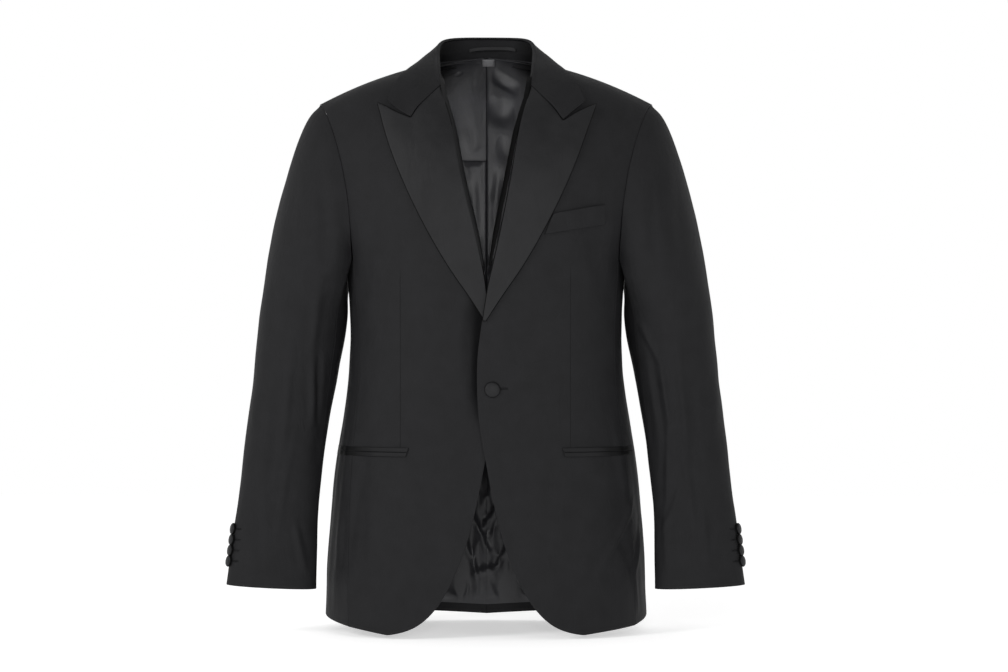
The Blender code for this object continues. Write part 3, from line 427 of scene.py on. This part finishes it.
def painted_neck_shade(tree):
    """A mask of painted shade, low in the two corners of the neck, which the collar keeps in shade."""
    part = axes_of(tree)
    aside = add_node(tree, "ShaderNodeMapRange", [("interpolation_type", "SMOOTHSTEP")],
                     [("From Min", CORNER_START * MM), ("From Max", CORNER_END * MM),
                      ("To Max", CORNER_SHADE)],
                     [("Value", sum_of(tree, "ABSOLUTE", part.outputs["X"], 0))])
    high = add_node(tree, "ShaderNodeMapRange", [("interpolation_type", "SMOOTHSTEP")],
                    [("From Min", CORNER_LOW * MM), ("From Max", CORNER_HIGH * MM)],
                    [("Value", part.outputs["Z"])])
    return sum_of(tree, "SUBTRACT", 1.0, sum_of(tree, "MULTIPLY", aside.outputs[0], high.outputs[0]))


# How bright the lining is at each height: painted shade at the very top, below the collar, and darker towards
# the hem
LINING_TONES = (
    (-760, 0.4), (-520, 0.3), (-400, 0.8), (-170, 0.85), (-110, 1.0), (-40, 1.0), (-22, 0.64), (-6, 0.38))
LINING_LOW, LINING_HIGH = -800, 100


def lining_tone_and_shade(tree):
    """The lining's tone as a mask: by height, with painted shade at the top and in the corners of the neck.
    """
    part = axes_of(tree)
    share = add_node(tree, "ShaderNodeMapRange", values=[
        ("From Min", LINING_LOW * MM), ("From Max", LINING_HIGH * MM)], links=[("Value", part.outputs["Z"])])
    ramp = add_node(tree, "ShaderNodeValToRGB", links=[("Fac", share.outputs[0])])
    stops = ramp.color_ramp.elements
    while len(stops) < len(LINING_TONES):
        stops.new(0.5)
    for stop, (height, value) in zip(stops, LINING_TONES):
        stop.position = (height - LINING_LOW) / (LINING_HIGH - LINING_LOW)
        stop.color = (value, value, value, 1)
    return sum_of(tree, "MULTIPLY", ramp.outputs["Color"], painted_neck_shade(tree))


wool = cloth_material("black wool", WOOL_COLOUR, 0.7, 0.62, 0.5, 24.0, 0.55, 0.16, rumple=0.5)
darted_wool = cloth_material(
    "black wool with a dart", WOOL_COLOUR, 0.7, 0.62, 0.5, 24.0, 0.55, 0.16, rumple=0.4, line=dart_line)
# Its tone carries painted shade at the top and in the corners of the neck.
lining_cloth = cloth_material(
    "black lining", (0.062, 0.062, 0.069), 0.4, 0.3, 0.25, 30.0, 0.25, 0.4, rumple=0.2, line=pleat_line,
    shade=lining_tone_and_shade)
# The stand's wool, with painted shade towards the corners of the neck
neck_wool_painted_shade = cloth_material(
    "black wool, painted neck shade", WOOL_COLOUR, 0.7, 0.62, 0.5, 24.0, 0.55, 0.1, shade=painted_neck_shade)
# A near-black copy of the wool, for painted shade on turned edges and painted shadow lines
edge_shadow = cloth_material(
    "black wool, painted edge shadow", (0.004, 0.004, 0.004), 0.8, 0.62, 0.5, 24.0, 0.3, 0.05)


def line_inside(piece, outward, covered):
    """Gives the inner face of a piece the lining's finish, where `covered` says that it is lined."""
    data = piece.data
    data.materials.append(lining_cloth)
    count = len(data.polygons)
    middles, facing = np.empty(count * 3), np.empty(count * 3)
    data.polygons.foreach_get("center", middles)
    data.polygons.foreach_get("normal", facing)
    middles, facing = middles.reshape(-1, 3) / MM, facing.reshape(-1, 3)
    inner = (facing * outward(middles)).sum(axis=1) < -0.35
    data.polygons.foreach_set("material_index", (inner & covered(middles)).astype(int))


def declare(piece, node):
    """Hides the node's solid and hangs the piece of cloth on the root."""
    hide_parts(node)
    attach(piece, "root")


def body_lift(points):
    return fold_rise(body_turn(points), points[:, 2], BODY_FOLDS, BODY_RADIUS) + wave_rise(points, SLOW_WAVES)


# Panels of the body: name, finish, flat width and length, what it hangs from
BODY_PANELS = (
    ("front", darted_wool, (0.262, 0.802), "back"),
    ("side", wool, (0.185, 0.505), "front"),
    ("back", wool, (0.252, 0.812), "collar_stand"),
)
for side in ("right", "left"):
    for panel, finish, cut, hanger in BODY_PANELS:
        node = f"{panel}_{side}"
        piece = finish_copy(node, f"{node}_cloth", 3)
        points = points_of(piece)
        lift = body_lift(points)
        # The folds die out towards the shoulder, the neck and the front edge, which are stiffened.
        lift *= 1 - SHOULDER_CALM * step(points[:, 2], *SHOULDER_SPAN)
        if panel == "front":
            lift *= FRONT_SHARE + (1 - FRONT_SHARE) * step(np.abs(points[:, 0]), *FRONT_SPAN)
        points += body_outward(points) * lift[:, None]
        if node == "front_right":
            straighten_roll(points)
            beside = np.exp(-((points[:, 0] - OVERLAP_PLACE) / OVERLAP_HALF) ** 2)
            beside *= step(points[:, 2], *OVERLAP_FOOT) * step(-points[:, 2], *OVERLAP_HEAD)
            points[:, 1] += OVERLAP_DIP * beside
        if panel == "back":
            points[np.abs(points[:, 0]) < CENTRE_SEAM, 0] = 0
        set_points(piece, points)
        piece.data.materials.append(finish)
        line_inside(piece, body_outward, lambda spot: (spot[:, 2] > HEM_LINED) & (
            (np.abs(spot[:, 0]) > FACING_LINED) | (spot[:, 1] > 0)))
        hanger = hanger if hanger == "collar_stand" else f"{hanger}_{side}"
        declare(piece, node)


# The sleeves: a top and an under sleeve, sewn to a tube and set into the armhole with a little fullness.
# They break softly at the elbow and in long folds down the front, where the arm hangs forward.
# Middle line of the sleeve: height, distance from the centre line, y, half width, half depth
SLEEVE_MIDDLE = (
    (-60, 236, 6, 40, 40),
    (-200, 236, 2, 55, 64),
    (-345, 251, -2, 62, 59),
    (-460, 267, -11, 58, 49),
    (-570, 280, -33, 56, 39),
    (-714, 290, -64, 61, 28),
)
SLEEVE_RADIUS = 52
# Folds of each sleeve. The turn is in degrees from the outer side round by the front.
# Turn, height, turn, height, half width, rise
SLEEVE_FOLDS = {
    "left": (
        (96, -128, 104, -292, 6, -1.9),
        (74, -140, 92, -330, 12, 1.6),
        (138, -352, 116, -412, 6, 2.8),
        (116, -398, 119, -502, 6, 3.0),
        (119, -486, 148, -612, 7, 2.6),
        (130, -396, 134, -512, 7, -2.6),
        (158, -638, 114, -572, 6, 2.0),
        (150, -600, 156, -690, 7, 1.8),
        (84, -372, 96, -560, 8, 2.3),
        (64, -404, 78, -540, 11, -1.7),
        (108, -480, 92, -640, 9, 1.9),
        (48, -300, 60, -420, 14, -1.1),
        (40, -560, 70, -690, 12, -1.2),
        (20, -420, 44, -520, 13, 1.1),
        (76, -590, 66, -700, 10, 1.2),
        (-30, -330, -60, -470, 12, -2.0),
        (-70, -380, -84, -540, 12, 1.9),
        (-100, -420, -112, -600, 12, -1.8),
        (150, -400, 160, -560, 12, -1.4),
        (-8, -120, 4, -300, 16, 0.9),
    ),
    "right": (
        (98, -132, 112, -290, 7, -1.8),
        (76, -150, 90, -322, 12, 1.5),
        (105, -284, 116, -402, 8, 2.8),
        (116, -396, 138, -498, 7, 2.8),
        (126, -392, 149, -494, 6, -2.8),
        (130, -618, 160, -694, 7, 2.2),
        (82, -380, 92, -545, 9, 2.0),
        (66, -420, 74, -600, 12, -1.5),
        (108, -500, 98, -650, 10, 1.5),
        (46, -290, 56, -440, 15, -1.0),
        (36, -540, 62, -680, 13, -1.1),
        (22, -430, 40, -540, 13, 1.0),
        (-32, -320, -58, -480, 12, -1.9),
        (-72, -390, -86, -560, 12, 1.8),
        (-102, -430, -114, -610, 12, -1.7),
        (152, -390, 158, -570, 12, -1.3),
        (-6, -126, 6, -296, 16, 0.9),
    ),
}


def sleeve_frame(points, sign):
    """The way to each point from the middle of its sleeve, and the half width and depth there."""
    table = np.array(sorted(SLEEVE_MIDDLE), float)
    middle = [np.interp(points[:, 2], table[:, 0], table[:, column]) for column in (1, 2, 3, 4)]
    return points[:, 0] * sign - middle[0], points[:, 1] - middle[1], middle[2], middle[3]


def sleeve_outward(sign):
    def outward(points):
        x, y, half, depth = sleeve_frame(points, sign)
        out = np.stack([x / half**2 * sign, y / depth**2, 0.012 * step(points[:, 2], -150, -60)], axis=1)
        return out / np.maximum(np.linalg.norm(out, axis=1, keepdims=True), 1e-9)
    return outward


# How much the folds are calmed in the sleeve head and at the cuff, and over what height
HEAD_CALM, HEAD_SPAN = 0.85, (-150, -70)
CUFF_CALM, CUFF_SPAN = 0.6, (680, 712)
# Parts of the sleeve: name, flat width and length
SLEEVE_PARTS = (("sleeve_top", (0.245, 0.680)), ("sleeve_under", (0.185, 0.640)))
for side, sign in (("right", -1), ("left", 1)):
    for part, cut in SLEEVE_PARTS:
        node = f"{part}_{side}"
        piece = finish_copy(node, f"{node}_cloth", 3)
        points = points_of(piece)
        x, y, _, _ = sleeve_frame(points, sign)
        lift = fold_rise(np.arctan2(-y, x), points[:, 2], SLEEVE_FOLDS[side], SLEEVE_RADIUS)
        lift += wave_rise(points, SLOW_WAVES, sign)
        lift *= 1 - HEAD_CALM * step(points[:, 2], *HEAD_SPAN)
        lift *= 1 - CUFF_CALM * step(-points[:, 2], *CUFF_SPAN)
        set_points(piece, points + sleeve_outward(sign)(points) * lift[:, None])
        piece.data.materials.append(wool)
        line_inside(piece, sleeve_outward(sign), lambda spot: spot[:, 2] > CUFF_LINED)
        declare(piece, node)


# The lapels and facings: satin-faced cloth that turns over at the roll line and is pressed flat to its
# peak, with a narrow strip of the same facing that goes on inside the front edge.
satin = cloth_material(
    "black satin facing", (0.0135, 0.0135, 0.0144), 0.5, 0.42, 0.22, 34.0, 0.3, 0.15, rumple=0.35,
    spread=0.16)
# Darker copies of the satin for the strips inside the roll: painted shade, near black on the wearer's left
facing_satin_painted_shade = {
    "right": cloth_material(
        "facing in the fold, painted shade, right", (0.012, 0.012, 0.0125), 0.6, 0.42, 0.22, 34.0, 0.3, 0.12),
    "left": cloth_material(
        "facing in the fold, painted shade, left", (0.003, 0.003, 0.003), 0.7, 0.42, 0.22, 34.0, 0.3, 0.04),
}
# Soft dents of the lapel, pressed to a share of their depth: x on its own side, height, x, height, half
# width, rise
DENT_SHARE = 0.6
LAPEL_DENTS = (
    (70, -80, 118, -112, 13, -0.9),
    (52, -120, 92, -160, 16, 0.7),
    (30, -200, 62, -180, 16, -0.6),
    (20, -255, 44, -250, 12, 0.5),
)
# How the corners of the lapel and collar are pressed: x, height, reach, move in x, move up
CORNER_MOVES = {
    -1: ((146, -64, 26, -1.0, 5.6), (104, -80, 14, -4.5, -1.0)),
    1: ((146, -64, 26, 2.0, 4.0), (104, -80, 14, -1.0, -5.0)),
}


def place_corners(points, sign):
    """Moves the cloth near the peak and the notch, a little differently on each side."""
    for x, height, reach, aside, up in CORNER_MOVES[sign]:
        near = np.exp(-((points[:, 0] * sign - x) ** 2 + (points[:, 2] - height) ** 2) / reach**2)
        points[:, 0] += sign * aside * near
        points[:, 2] += up * near


# How far an edge may turn from its piece's way before painted shade: a pressed edge and a rounded one
PRESSED_EDGE, ROUNDED_EDGE = 0.35, 0.66


def shade_edges(piece, outward=None, turned=PRESSED_EDGE):
    """The cut edge of a pressed piece, which turns away from the light, is darker: painted shade."""
    piece.data.materials.append(edge_shadow)
    middles = np.array([face.center / MM for face in piece.data.polygons])
    outs = outward(middles) if outward else np.tile((0.0, -1.0, 0.0), (len(middles), 1))
    for face, out in zip(piece.data.polygons, outs):
        if face.normal.dot(Vector(out)) < turned:
            face.material_index = 1


# How far the painted shadow rim goes out round its piece, and back from it
RIM_OUT, RIM_BACK = 0.95, 1.2


def painted_shadow_rim(piece):
    """A near-black wool copy under a pressed piece, whose rim shows round it as a thin painted shadow line.
    """
    under = piece.copy()
    under.data = piece.data.copy()
    under.name = f"{piece.name}_under"
    bpy.context.scene.collection.objects.link(under)
    normals = np.empty(len(under.data.vertices) * 3)
    under.data.vertices.foreach_get("normal", normals)
    points = points_of(under) + normals.reshape(-1, 3) * (RIM_OUT, 0.0, RIM_OUT)
    points[:, 1] += RIM_BACK
    set_points(under, points)
    under.data.materials.clear()
    under.data.materials.append(edge_shadow)
    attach(under, "root")


# Above the first height each strip is drawn out to reach up to the second
FACING_TOP, FACING_REACH = -100, 1
# Beside the neck it hangs down from the crest: from height, to height, drop, its width
FACING_DROP_START, FACING_DROP_END, FACING_DROP, FACING_ACROSS = -22, -7, 14, 10
# There its edge also lies a little lower than the crest: how much, and over what height
FACING_SETTLE, SETTLE_SPAN = 1.5, (-40, -20)
# How much of its width each strip shows
FACING_WIDTH = {-1: 0.55, 1: 0.62}


def raise_facing(points, sign):
    """Draws the top of the strip up inside the collar, along the crest."""
    height = points[:, 2].copy()
    stretch = (FACING_REACH - FACING_TOP) / (height.max() - FACING_TOP)
    raised = np.where(height > FACING_TOP, FACING_TOP + (height - FACING_TOP) * stretch, height)
    table = np.array(CREST, float)
    for column, way in ((1, sign), (2, 1)):
        above, below = (np.interp(level, table[:, 0], table[:, column]) for level in (raised, height))
        points[:, column - 1] += way * (above - below)
    points[:, 2] = raised
    crest = crest_x(raised)
    inside = points[:, 0] * sign - crest
    points[:, 0] = sign * (crest + inside * FACING_WIDTH[sign])
    hang = np.clip(-inside / FACING_ACROSS, 0, 1) * step(raised, FACING_DROP_START, FACING_DROP_END)
    points[:, 2] -= FACING_DROP * hang + FACING_SETTLE * step(raised, *SETTLE_SPAN)


for side, sign in (("right", -1), ("left", 1)):
    piece = finish_copy(f"lapel_{side}", f"lapel_{side}_satin", 3, crease=0.85)
    points = points_of(piece)
    flat_rise = np.zeros(len(points))
    for first_x, first_height, last_x, last_height, half, rise in LAPEL_DENTS:
        from_first = np.stack([points[:, 0] * sign - first_x, points[:, 2] - first_height], axis=1)
        run = np.array((last_x - first_x, last_height - first_height))
        share = np.clip(from_first @ run / (run @ run), 0, 1)
        off = np.linalg.norm(from_first - share[:, None] * run, axis=1) / half
        flat_rise += rise * np.sin(pi * share) * np.exp(-off**2)
    points[:, 1] -= flat_rise * DENT_SHARE
    place_corners(points, sign)
    if side == "right":
        straighten_roll(points)
    set_points(piece, points)
    piece.data.materials.append(satin)
    # The lapel's turned edge gets painted shade, and a painted shadow line goes round it.
    shade_edges(piece)
    painted_shadow_rim(piece)
    declare(piece, f"lapel_{side}")
    strip = finish_copy(f"facing_{side}", f"facing_{side}_satin", 2)
    points = points_of(strip)
    raise_facing(points, sign)
    if side == "right":
        straighten_roll(points)
    set_points(strip, points)
    # The strip takes painted shade, a darker copy of the satin.
    strip.data.materials.append(facing_satin_painted_shade[side])
    declare(strip, f"facing_{side}")


# The collar: a leaf that falls over the neck seam and a stand inside it, both in the same wool, folded
# along the top and pressed. The leaf meets the lapel at the notch.
COLLAR_TOP, COLLAR_BACK, COLLAR_SPAN = 2.6, (20, 80), (20, 46)
COLLAR_WAVES = ((38, 0.35),)


def collar_rise(points):
    """How far the folded top is drawn up round the back of the neck."""
    return COLLAR_TOP * step(points[:, 1], *COLLAR_BACK) * step(points[:, 2], *COLLAR_SPAN)


leaf = finish_copy("collar_leaf", "collar_leaf_cloth", 3, crease=0.85, sharp=66)
points = points_of(leaf)
points += body_outward(points) * wave_rise(points, COLLAR_WAVES)[:, None]
for sign in (-1, 1):
    half = points[:, 0] * sign > 0
    moved = points[half]
    place_corners(moved, sign)
    points[half] = moved
points[:, 2] += collar_rise(points)
set_points(leaf, points)
leaf.data.materials.append(wool)
declare(leaf, "collar_leaf")
# The stand's lower edge goes down behind the lining: its height at the centre back, how it falls to the
# sides, how soon the rest follows, and how far it goes down and out
STAND_LOW, STAND_FALL, STAND_BLEND, STAND_DOWN, STAND_PUSH = 22, 0.0028, 9, 12, 3.5
stand = finish_copy("collar_stand", "collar_stand_cloth", 3)
points = points_of(stand)
low_share = 1 - step(points[:, 2] - (STAND_LOW - STAND_FALL * points[:, 0] ** 2), 0, STAND_BLEND)
points[:, 2] += collar_rise(points)
level_out = body_outward(points) * (1, 1, 0)
level_out /= np.linalg.norm(level_out, axis=1, keepdims=True)
points += level_out * (STAND_PUSH * low_share)[:, None]
points[:, 2] -= STAND_DOWN * low_share
set_points(stand, points)
stand.data.materials.append(neck_wool_painted_shade)
declare(stand, "collar_stand")


# The pockets: a welt of wool on the chest, and a pair of satin jets at each hip, pressed and closed.
welt = finish_copy("breast_welt", "breast_welt_cloth", 3, crease=0.7)
welt.data.materials.append(wool)
# The welt's cut edges get painted shade.
shade_edges(welt)
declare(welt, "breast_welt")
# How far the outer end of each jet sinks into the cloth, and where it gets painted shade: start, end, least
# tone
JET_SINK, JET_SINK_SPAN = 2.2, (150, 200)
MOUTH_START, MOUTH_END, MOUTH_TONE = 150, 186, 0.15


def painted_mouth_shade(tree):
    """Painted shade on the jets towards the side, where the mouth of the pocket gapes a little."""
    return add_node(tree, "ShaderNodeMapRange", values=[
        ("From Min", MOUTH_START * MM), ("From Max", MOUTH_END * MM),
        ("To Min", 1.0), ("To Max", MOUTH_TONE)],
        links=[("Value", sum_of(tree, "ABSOLUTE", axes_of(tree).outputs["X"], 0))]).outputs[0]


jet_cloth = cloth_material(
    "black satin jets", (0.0115, 0.0115, 0.0122), 0.6, 0.42, 0.22, 34.0, 0.3, 0.12, shade=painted_mouth_shade)
for side in ("right", "left"):
    for row in ("upper", "lower"):
        node = f"hip_jet_{row}_{side}"
        jet = finish_copy(node, f"{node}_satin", 3, crease=0.25)
        points = points_of(jet)
        lift = body_lift(points) - JET_SINK * step(np.abs(points[:, 0]), *JET_SINK_SPAN)
        set_points(jet, points + body_outward(points) * lift[:, None])
        jet.data.materials.append(jet_cloth)
        # Their rounded rims get painted shade as well.
        shade_edges(jet, body_outward, ROUNDED_EDGE)
        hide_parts(node)
        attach(jet, "root")


# The buttons: moulds covered in the satin of the facings, one at the waist and four that touch on each
# cuff. They swell out from their solids, the front one moves to its seat, and a cuff button stands off.
BUTTON_SWELL, FRONT_SWELL, BUTTON_SEAT, FRONT_SEAT = 1.25, 1.14, 2.0, (1.8, 3.0, 0)


def tree_of(names):
    """One search tree, in millimetres, of finished pieces."""
    corners, faces = [], []
    for name in names:
        data = bpy.data.objects[name].data
        base = len(corners)
        corners += [vertex.co / MM for vertex in data.vertices]
        faces += [[base + corner for corner in face.vertices] for face in data.polygons]
    return BVHTree.FromPolygons(corners, faces)


button_nodes = ["front_button"]
button_nodes += [f"cuff_button_{side}_{number}" for side in ("right", "left") for number in range(1, 5)]
for node in button_nodes:
    button = finish_copy(node, f"{node}_covered", 3, crease=0.35, sharp=60, corner_hold=0.0)
    points = points_of(button)
    middle = points.mean(axis=0)
    if node == "front_button":
        seat, swell, faces_out = middle + FRONT_SEAT, FRONT_SWELL, None
    else:
        # A cuff button is pulled down to the cloth that it is sewn to.
        cuff_side = node.split("_")[2]
        nearest, _, _, gap = tree_of([f"sleeve_top_{cuff_side}_cloth"]).find_nearest(Vector(middle))
        seat = middle + (np.array(nearest) - middle) * (1 - BUTTON_SEAT / gap)
        swell, faces_out = BUTTON_SWELL, sleeve_outward(-1 if cuff_side == "right" else 1)
    set_points(button, seat + (points - middle) * swell)
    button.data.materials.append(satin)
    # Their rims, turned from the light, get painted shade.
    shade_edges(button, faces_out, ROUNDED_EDGE)
    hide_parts(node)
    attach(button, "root")


# The buttonholes: close black silk stitches round a slit, one with an eye behind the front button and
# one beside each cuff button, where they are only worked and not cut.
THREAD_RADIUS, SLIT_HALF = 0.26, 0.25
silk = cloth_material("black silk thread", (0.004, 0.004, 0.0045), 0.5, 0.3, 0.3, 20.0, 0.3, 0.15)


def bars(name, starts, ends, outs, radius, finish, lift=0.25):
    """Many short threads in one mesh, each a bowed six-sided bar with thin ends."""
    shape = bmesh.new()
    shares, swell = (0, 0.25, 0.75, 1), (0.35, 1, 1, 0.35)
    for start, end, out in zip(starts, ends, outs):
        run = (end - start) / np.linalg.norm(end - start)
        side = np.cross(run, out)
        rings = []
        for share, size in zip(shares, swell):
            middle = start + (end - start) * share + out * (lift * sin(pi * share))
            rings.append([shape.verts.new((middle + radius * size * (out * sin(a) + side * cos(a))) * MM)
                          for a in np.arange(6) * pi / 3])
        for low, high in zip(rings, rings[1:]):
            for corner in range(6):
                after = (corner + 1) % 6
                shape.faces.new((low[corner], low[after], high[after], high[corner]))
        shape.faces.new(rings[0][::-1])
        shape.faces.new(rings[-1])
    bmesh.ops.recalc_face_normals(shape, faces=shape.faces)
    mesh = bpy.data.meshes.new(name)
    shape.to_mesh(mesh)
    shape.free()
    mesh.shade_smooth()
    mesh.materials.append(finish)
    made = bpy.data.objects.new(name, mesh)
    bpy.context.scene.collection.objects.link(made)
    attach(made, "root")
    return made


def worked_hole(name, tree, route, way_in, half=1.15, pitch=0.62, eye=0.0):
    """Stitches from the slit out over the cloth, along both sides of a route and round its end."""
    starts, ends, outs = [], [], []
    route = [np.array(point, float) for point in route]
    length = np.linalg.norm(route[1] - route[0])
    run = (route[1] - route[0]) / length
    aside = np.cross(run, way_in)
    aside /= np.linalg.norm(aside)
    places = [(run * along + aside * way * SLIT_HALF, aside * way)
              for way in (-1, 1) for along in np.arange(eye, length, pitch)]
    places += [(run * length + (run * cos(a) + aside * sin(a)) * SLIT_HALF, run * cos(a) + aside * sin(a))
               for a in np.linspace(-pi / 2, pi / 2, 7)]
    places += [(eye * 0.5 * run + (run * cos(a) + aside * sin(a)) * eye * 0.5, run * cos(a) + aside * sin(a))
               for a in np.linspace(pi / 4, 2 * pi - pi / 4, 14 if eye else 0)]
    for offset, way in places:
        inner = route[0] + offset
        hits = [tree.ray_cast(Vector(spot - way_in * 30), Vector(way_in))
                for spot in (inner, inner + way * half)]
        if all(hit[0] is not None for hit in hits):
            starts.append(np.array(hits[0][0]))
            ends.append(np.array(hits[1][0]))
            outs.append(-way_in)
    return bars(name, starts, ends, outs, THREAD_RADIUS, silk)


worked_hole("front_buttonhole", tree_of(["front_left_cloth"]), ((4, -118, -443.2), (29, -116, -442.2)),
            np.array((0.0, 1.0, 0.0)), eye=3.0)
for side, sign in (("right", -1), ("left", 1)):
    cuff = tree_of([f"sleeve_top_{side}_cloth"])
    for number in range(1, 5):
        low, high = (np.array(corner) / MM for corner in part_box(f"cuff_button_{side}_{number}"))
        middle = (low + high) / 2
        start = middle + (0, -5, 0)
        end = middle + np.array((-6.0 * sign, -20.0, 0))
        inward = np.array((-0.72 * sign, 0.69, 0.0))
        worked_hole(f"cuff_buttonhole_{side}_{number}", cuff, (start, end), inward, half=0.9, pitch=0.75)


# The lining: glossy black cloth inside the back, in two halves that meet in a pleat. It is cut longer
# than the back, so it lies in soft folds at the top and crumples above the hem, which it leaves bare.
# Folds of the lining. The turn is as for the body: turn, height, turn, height, half width, rise inwards
LINING_FOLDS = (
    (174, -4, 150, -24, 12, 6.0),
    (179, -52, 156, -58, 20, 6.5),
    (172, -96, 160, -120, 20, 2.0),
    (196, 16, 214, -4, 14, 4.0),
    (182, -119, 198, -119, 11, 4.0),
    (190, -150, 188, -236, 15, 1.6),
    (171, -134, 174, -240, 14, 2.0),
    (176, -262, 184, -292, 9, 3.6),
    (184, -300, 177, -340, 8, 3.0),
    (157, -120, 162, -240, 12, 2.2),
    (203, -140, 198, -260, 12, 2.2),
    (180, -540, 172, -640, 9, 5.0),
    (187, -560, 196, -660, 9, 4.5),
    (166, -600, 184, -650, 8, 5.0),
    (195, -610, 176, -690, 8, 4.5),
    (160, -660, 178, -720, 9, 5.5),
    (200, -640, 186, -725, 9, 5.5),
    (170, -700, 192, -712, 8, 5.0),
    (154, -560, 160, -700, 12, 3.5),
    (206, -560, 201, -700, 12, 3.5),
    (140, -300, 136, -600, 16, 3.0),
    (220, -300, 224, -600, 16, 3.0),
    (178, -360, 182, -520, 9, 3.0),
)
PLEAT_HALF, PLEAT_SLIT, PLEAT_RISE = 9, 1.0, 1.4
# Crumples above the hem: size, depth. They are drawn out down the cloth, and faint above.
CRUMPLES = ((34, 7.0), (15, 3.0))
CRUMPLE_DRAWN, CRUMPLE_FAINT = 0.42, 0.09
for side, sign in (("right", -1), ("left", 1)):
    node = f"lining_back_{side}"
    piece = finish_copy(node, f"{node}_cloth", 4)
    points = points_of(piece)
    height = points[:, 2]
    rise = fold_rise(body_turn(points), height, LINING_FOLDS, BODY_RADIUS)
    crumple = np.zeros(len(points))
    for size, depth in CRUMPLES:
        wrinkles = np.abs([noise.noise(Vector((x, y, z * CRUMPLE_DRAWN)) / size + Vector((0, 5, 0)))
                           for x, y, z in points])
        crumple += depth * (1 - 2.2 * wrinkles)
    low = step(-height, 520, 600) * step(height, -757, -735)
    rise += crumple * (CRUMPLE_FAINT + (1 - CRUMPLE_FAINT) * low) * step(height, -757, -742)
    pleat = np.exp(-(points[:, 0] / PLEAT_HALF) ** 2) - np.exp(-(points[:, 0] / PLEAT_SLIT) ** 2)
    pleat *= PLEAT_RISE * step(-height, -10, 30) * step(height, -600, -480)
    # The lining may only rise inwards, away from the cloth behind it.
    rise = np.maximum(rise, 0) + pleat
    rise *= step(height, -757, -740) * step(-height, -18, 6)
    edge = step(230 - np.abs(points[:, 0]), 8, 30)
    points -= body_outward(points) * (rise * edge)[:, None]
    points[np.abs(points[:, 0]) < CENTRE_SEAM, 0] = 0
    set_points(piece, points)
    piece.data.materials.append(lining_cloth)
    declare(piece, node)

# The flap: how far it stands off, how far its free edge does on top, its waves, and its folds as above
FLAP_RISE, FLAP_LOOSE, FLAP_WAVES = 2.0, 5.5, ((40, 2.4),)
FLAP_FOLDS = (
    (202, -6, 187, -104, 24, 1.2),
    (216, -20, 206, -112, 14, 0.8),
    (184, 6, 206, 2, 9, 0.8),
)
flap = finish_copy("lining_flap", "lining_flap_cloth", 4)
points = points_of(flap)
loose = step(-points[:, 2], 10, 118)
flap_rise = FLAP_RISE * (1 + fold_rise(body_turn(points), points[:, 2], FLAP_FOLDS, BODY_RADIUS))
flap_rise = (flap_rise + FLAP_LOOSE) * loose
flap_rise += wave_rise(points, FLAP_WAVES, 4.0) * step(-points[:, 2], -5, 20)
flap_rise = np.maximum(flap_rise, 0)
set_points(flap, points - body_outward(points) * flap_rise[:, None])
flap.data.materials.append(lining_cloth)
declare(flap, "lining_flap")


# The hanger loop, a smooth folded strip sewn by its ends inside the stand, and a plain woven tab below
# it, held down at its ends by stitches in from its edge.
LOOP_RAISE = 3.4
TACK_IN, TACK_PITCH, TACK_LENGTH, TACK_RADIUS = 1.2, 1.9, 1.4, 0.16
loop = finish_copy("hanger_loop", "hanger_loop_cloth", 3, crease=0.4)
points = points_of(loop)
points[:, 2] += LOOP_RAISE * ((points[:, 0] - points[:, 0].mean()) / (np.ptp(points[:, 0]) / 2)) ** 2
set_points(loop, points)
loop.data.materials.append(satin)
declare(loop, "hanger_loop")
tab_cloth = cloth_material("woven tab", (0.12, 0.12, 0.125), 0.6, 0.5, 0.5, 12.0, 0.5, 0.3)
tab = finish_copy("neck_tab", "neck_tab_cloth", 2, crease=0.8)
tab.data.materials.append(tab_cloth)
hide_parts("neck_tab")
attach(tab, "root")
low, high = (np.array(corner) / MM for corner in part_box("neck_tab"))
tack_starts, tack_ends = [], []
for x in (low[0] + TACK_IN, high[0] - TACK_IN):
    for height in np.arange(low[2] + 1, high[2] - 1.5, TACK_PITCH):
        tack_starts.append(np.array((x, low[1] - 0.1, height)))
        tack_ends.append(np.array((x, low[1] - 0.1, height + TACK_LENGTH)))
bars("neck_tab_stitches", tack_starts, tack_ends, [np.array((0.0, -1.0, 0.0))] * len(tack_starts),
     TACK_RADIUS, silk, 0.1)
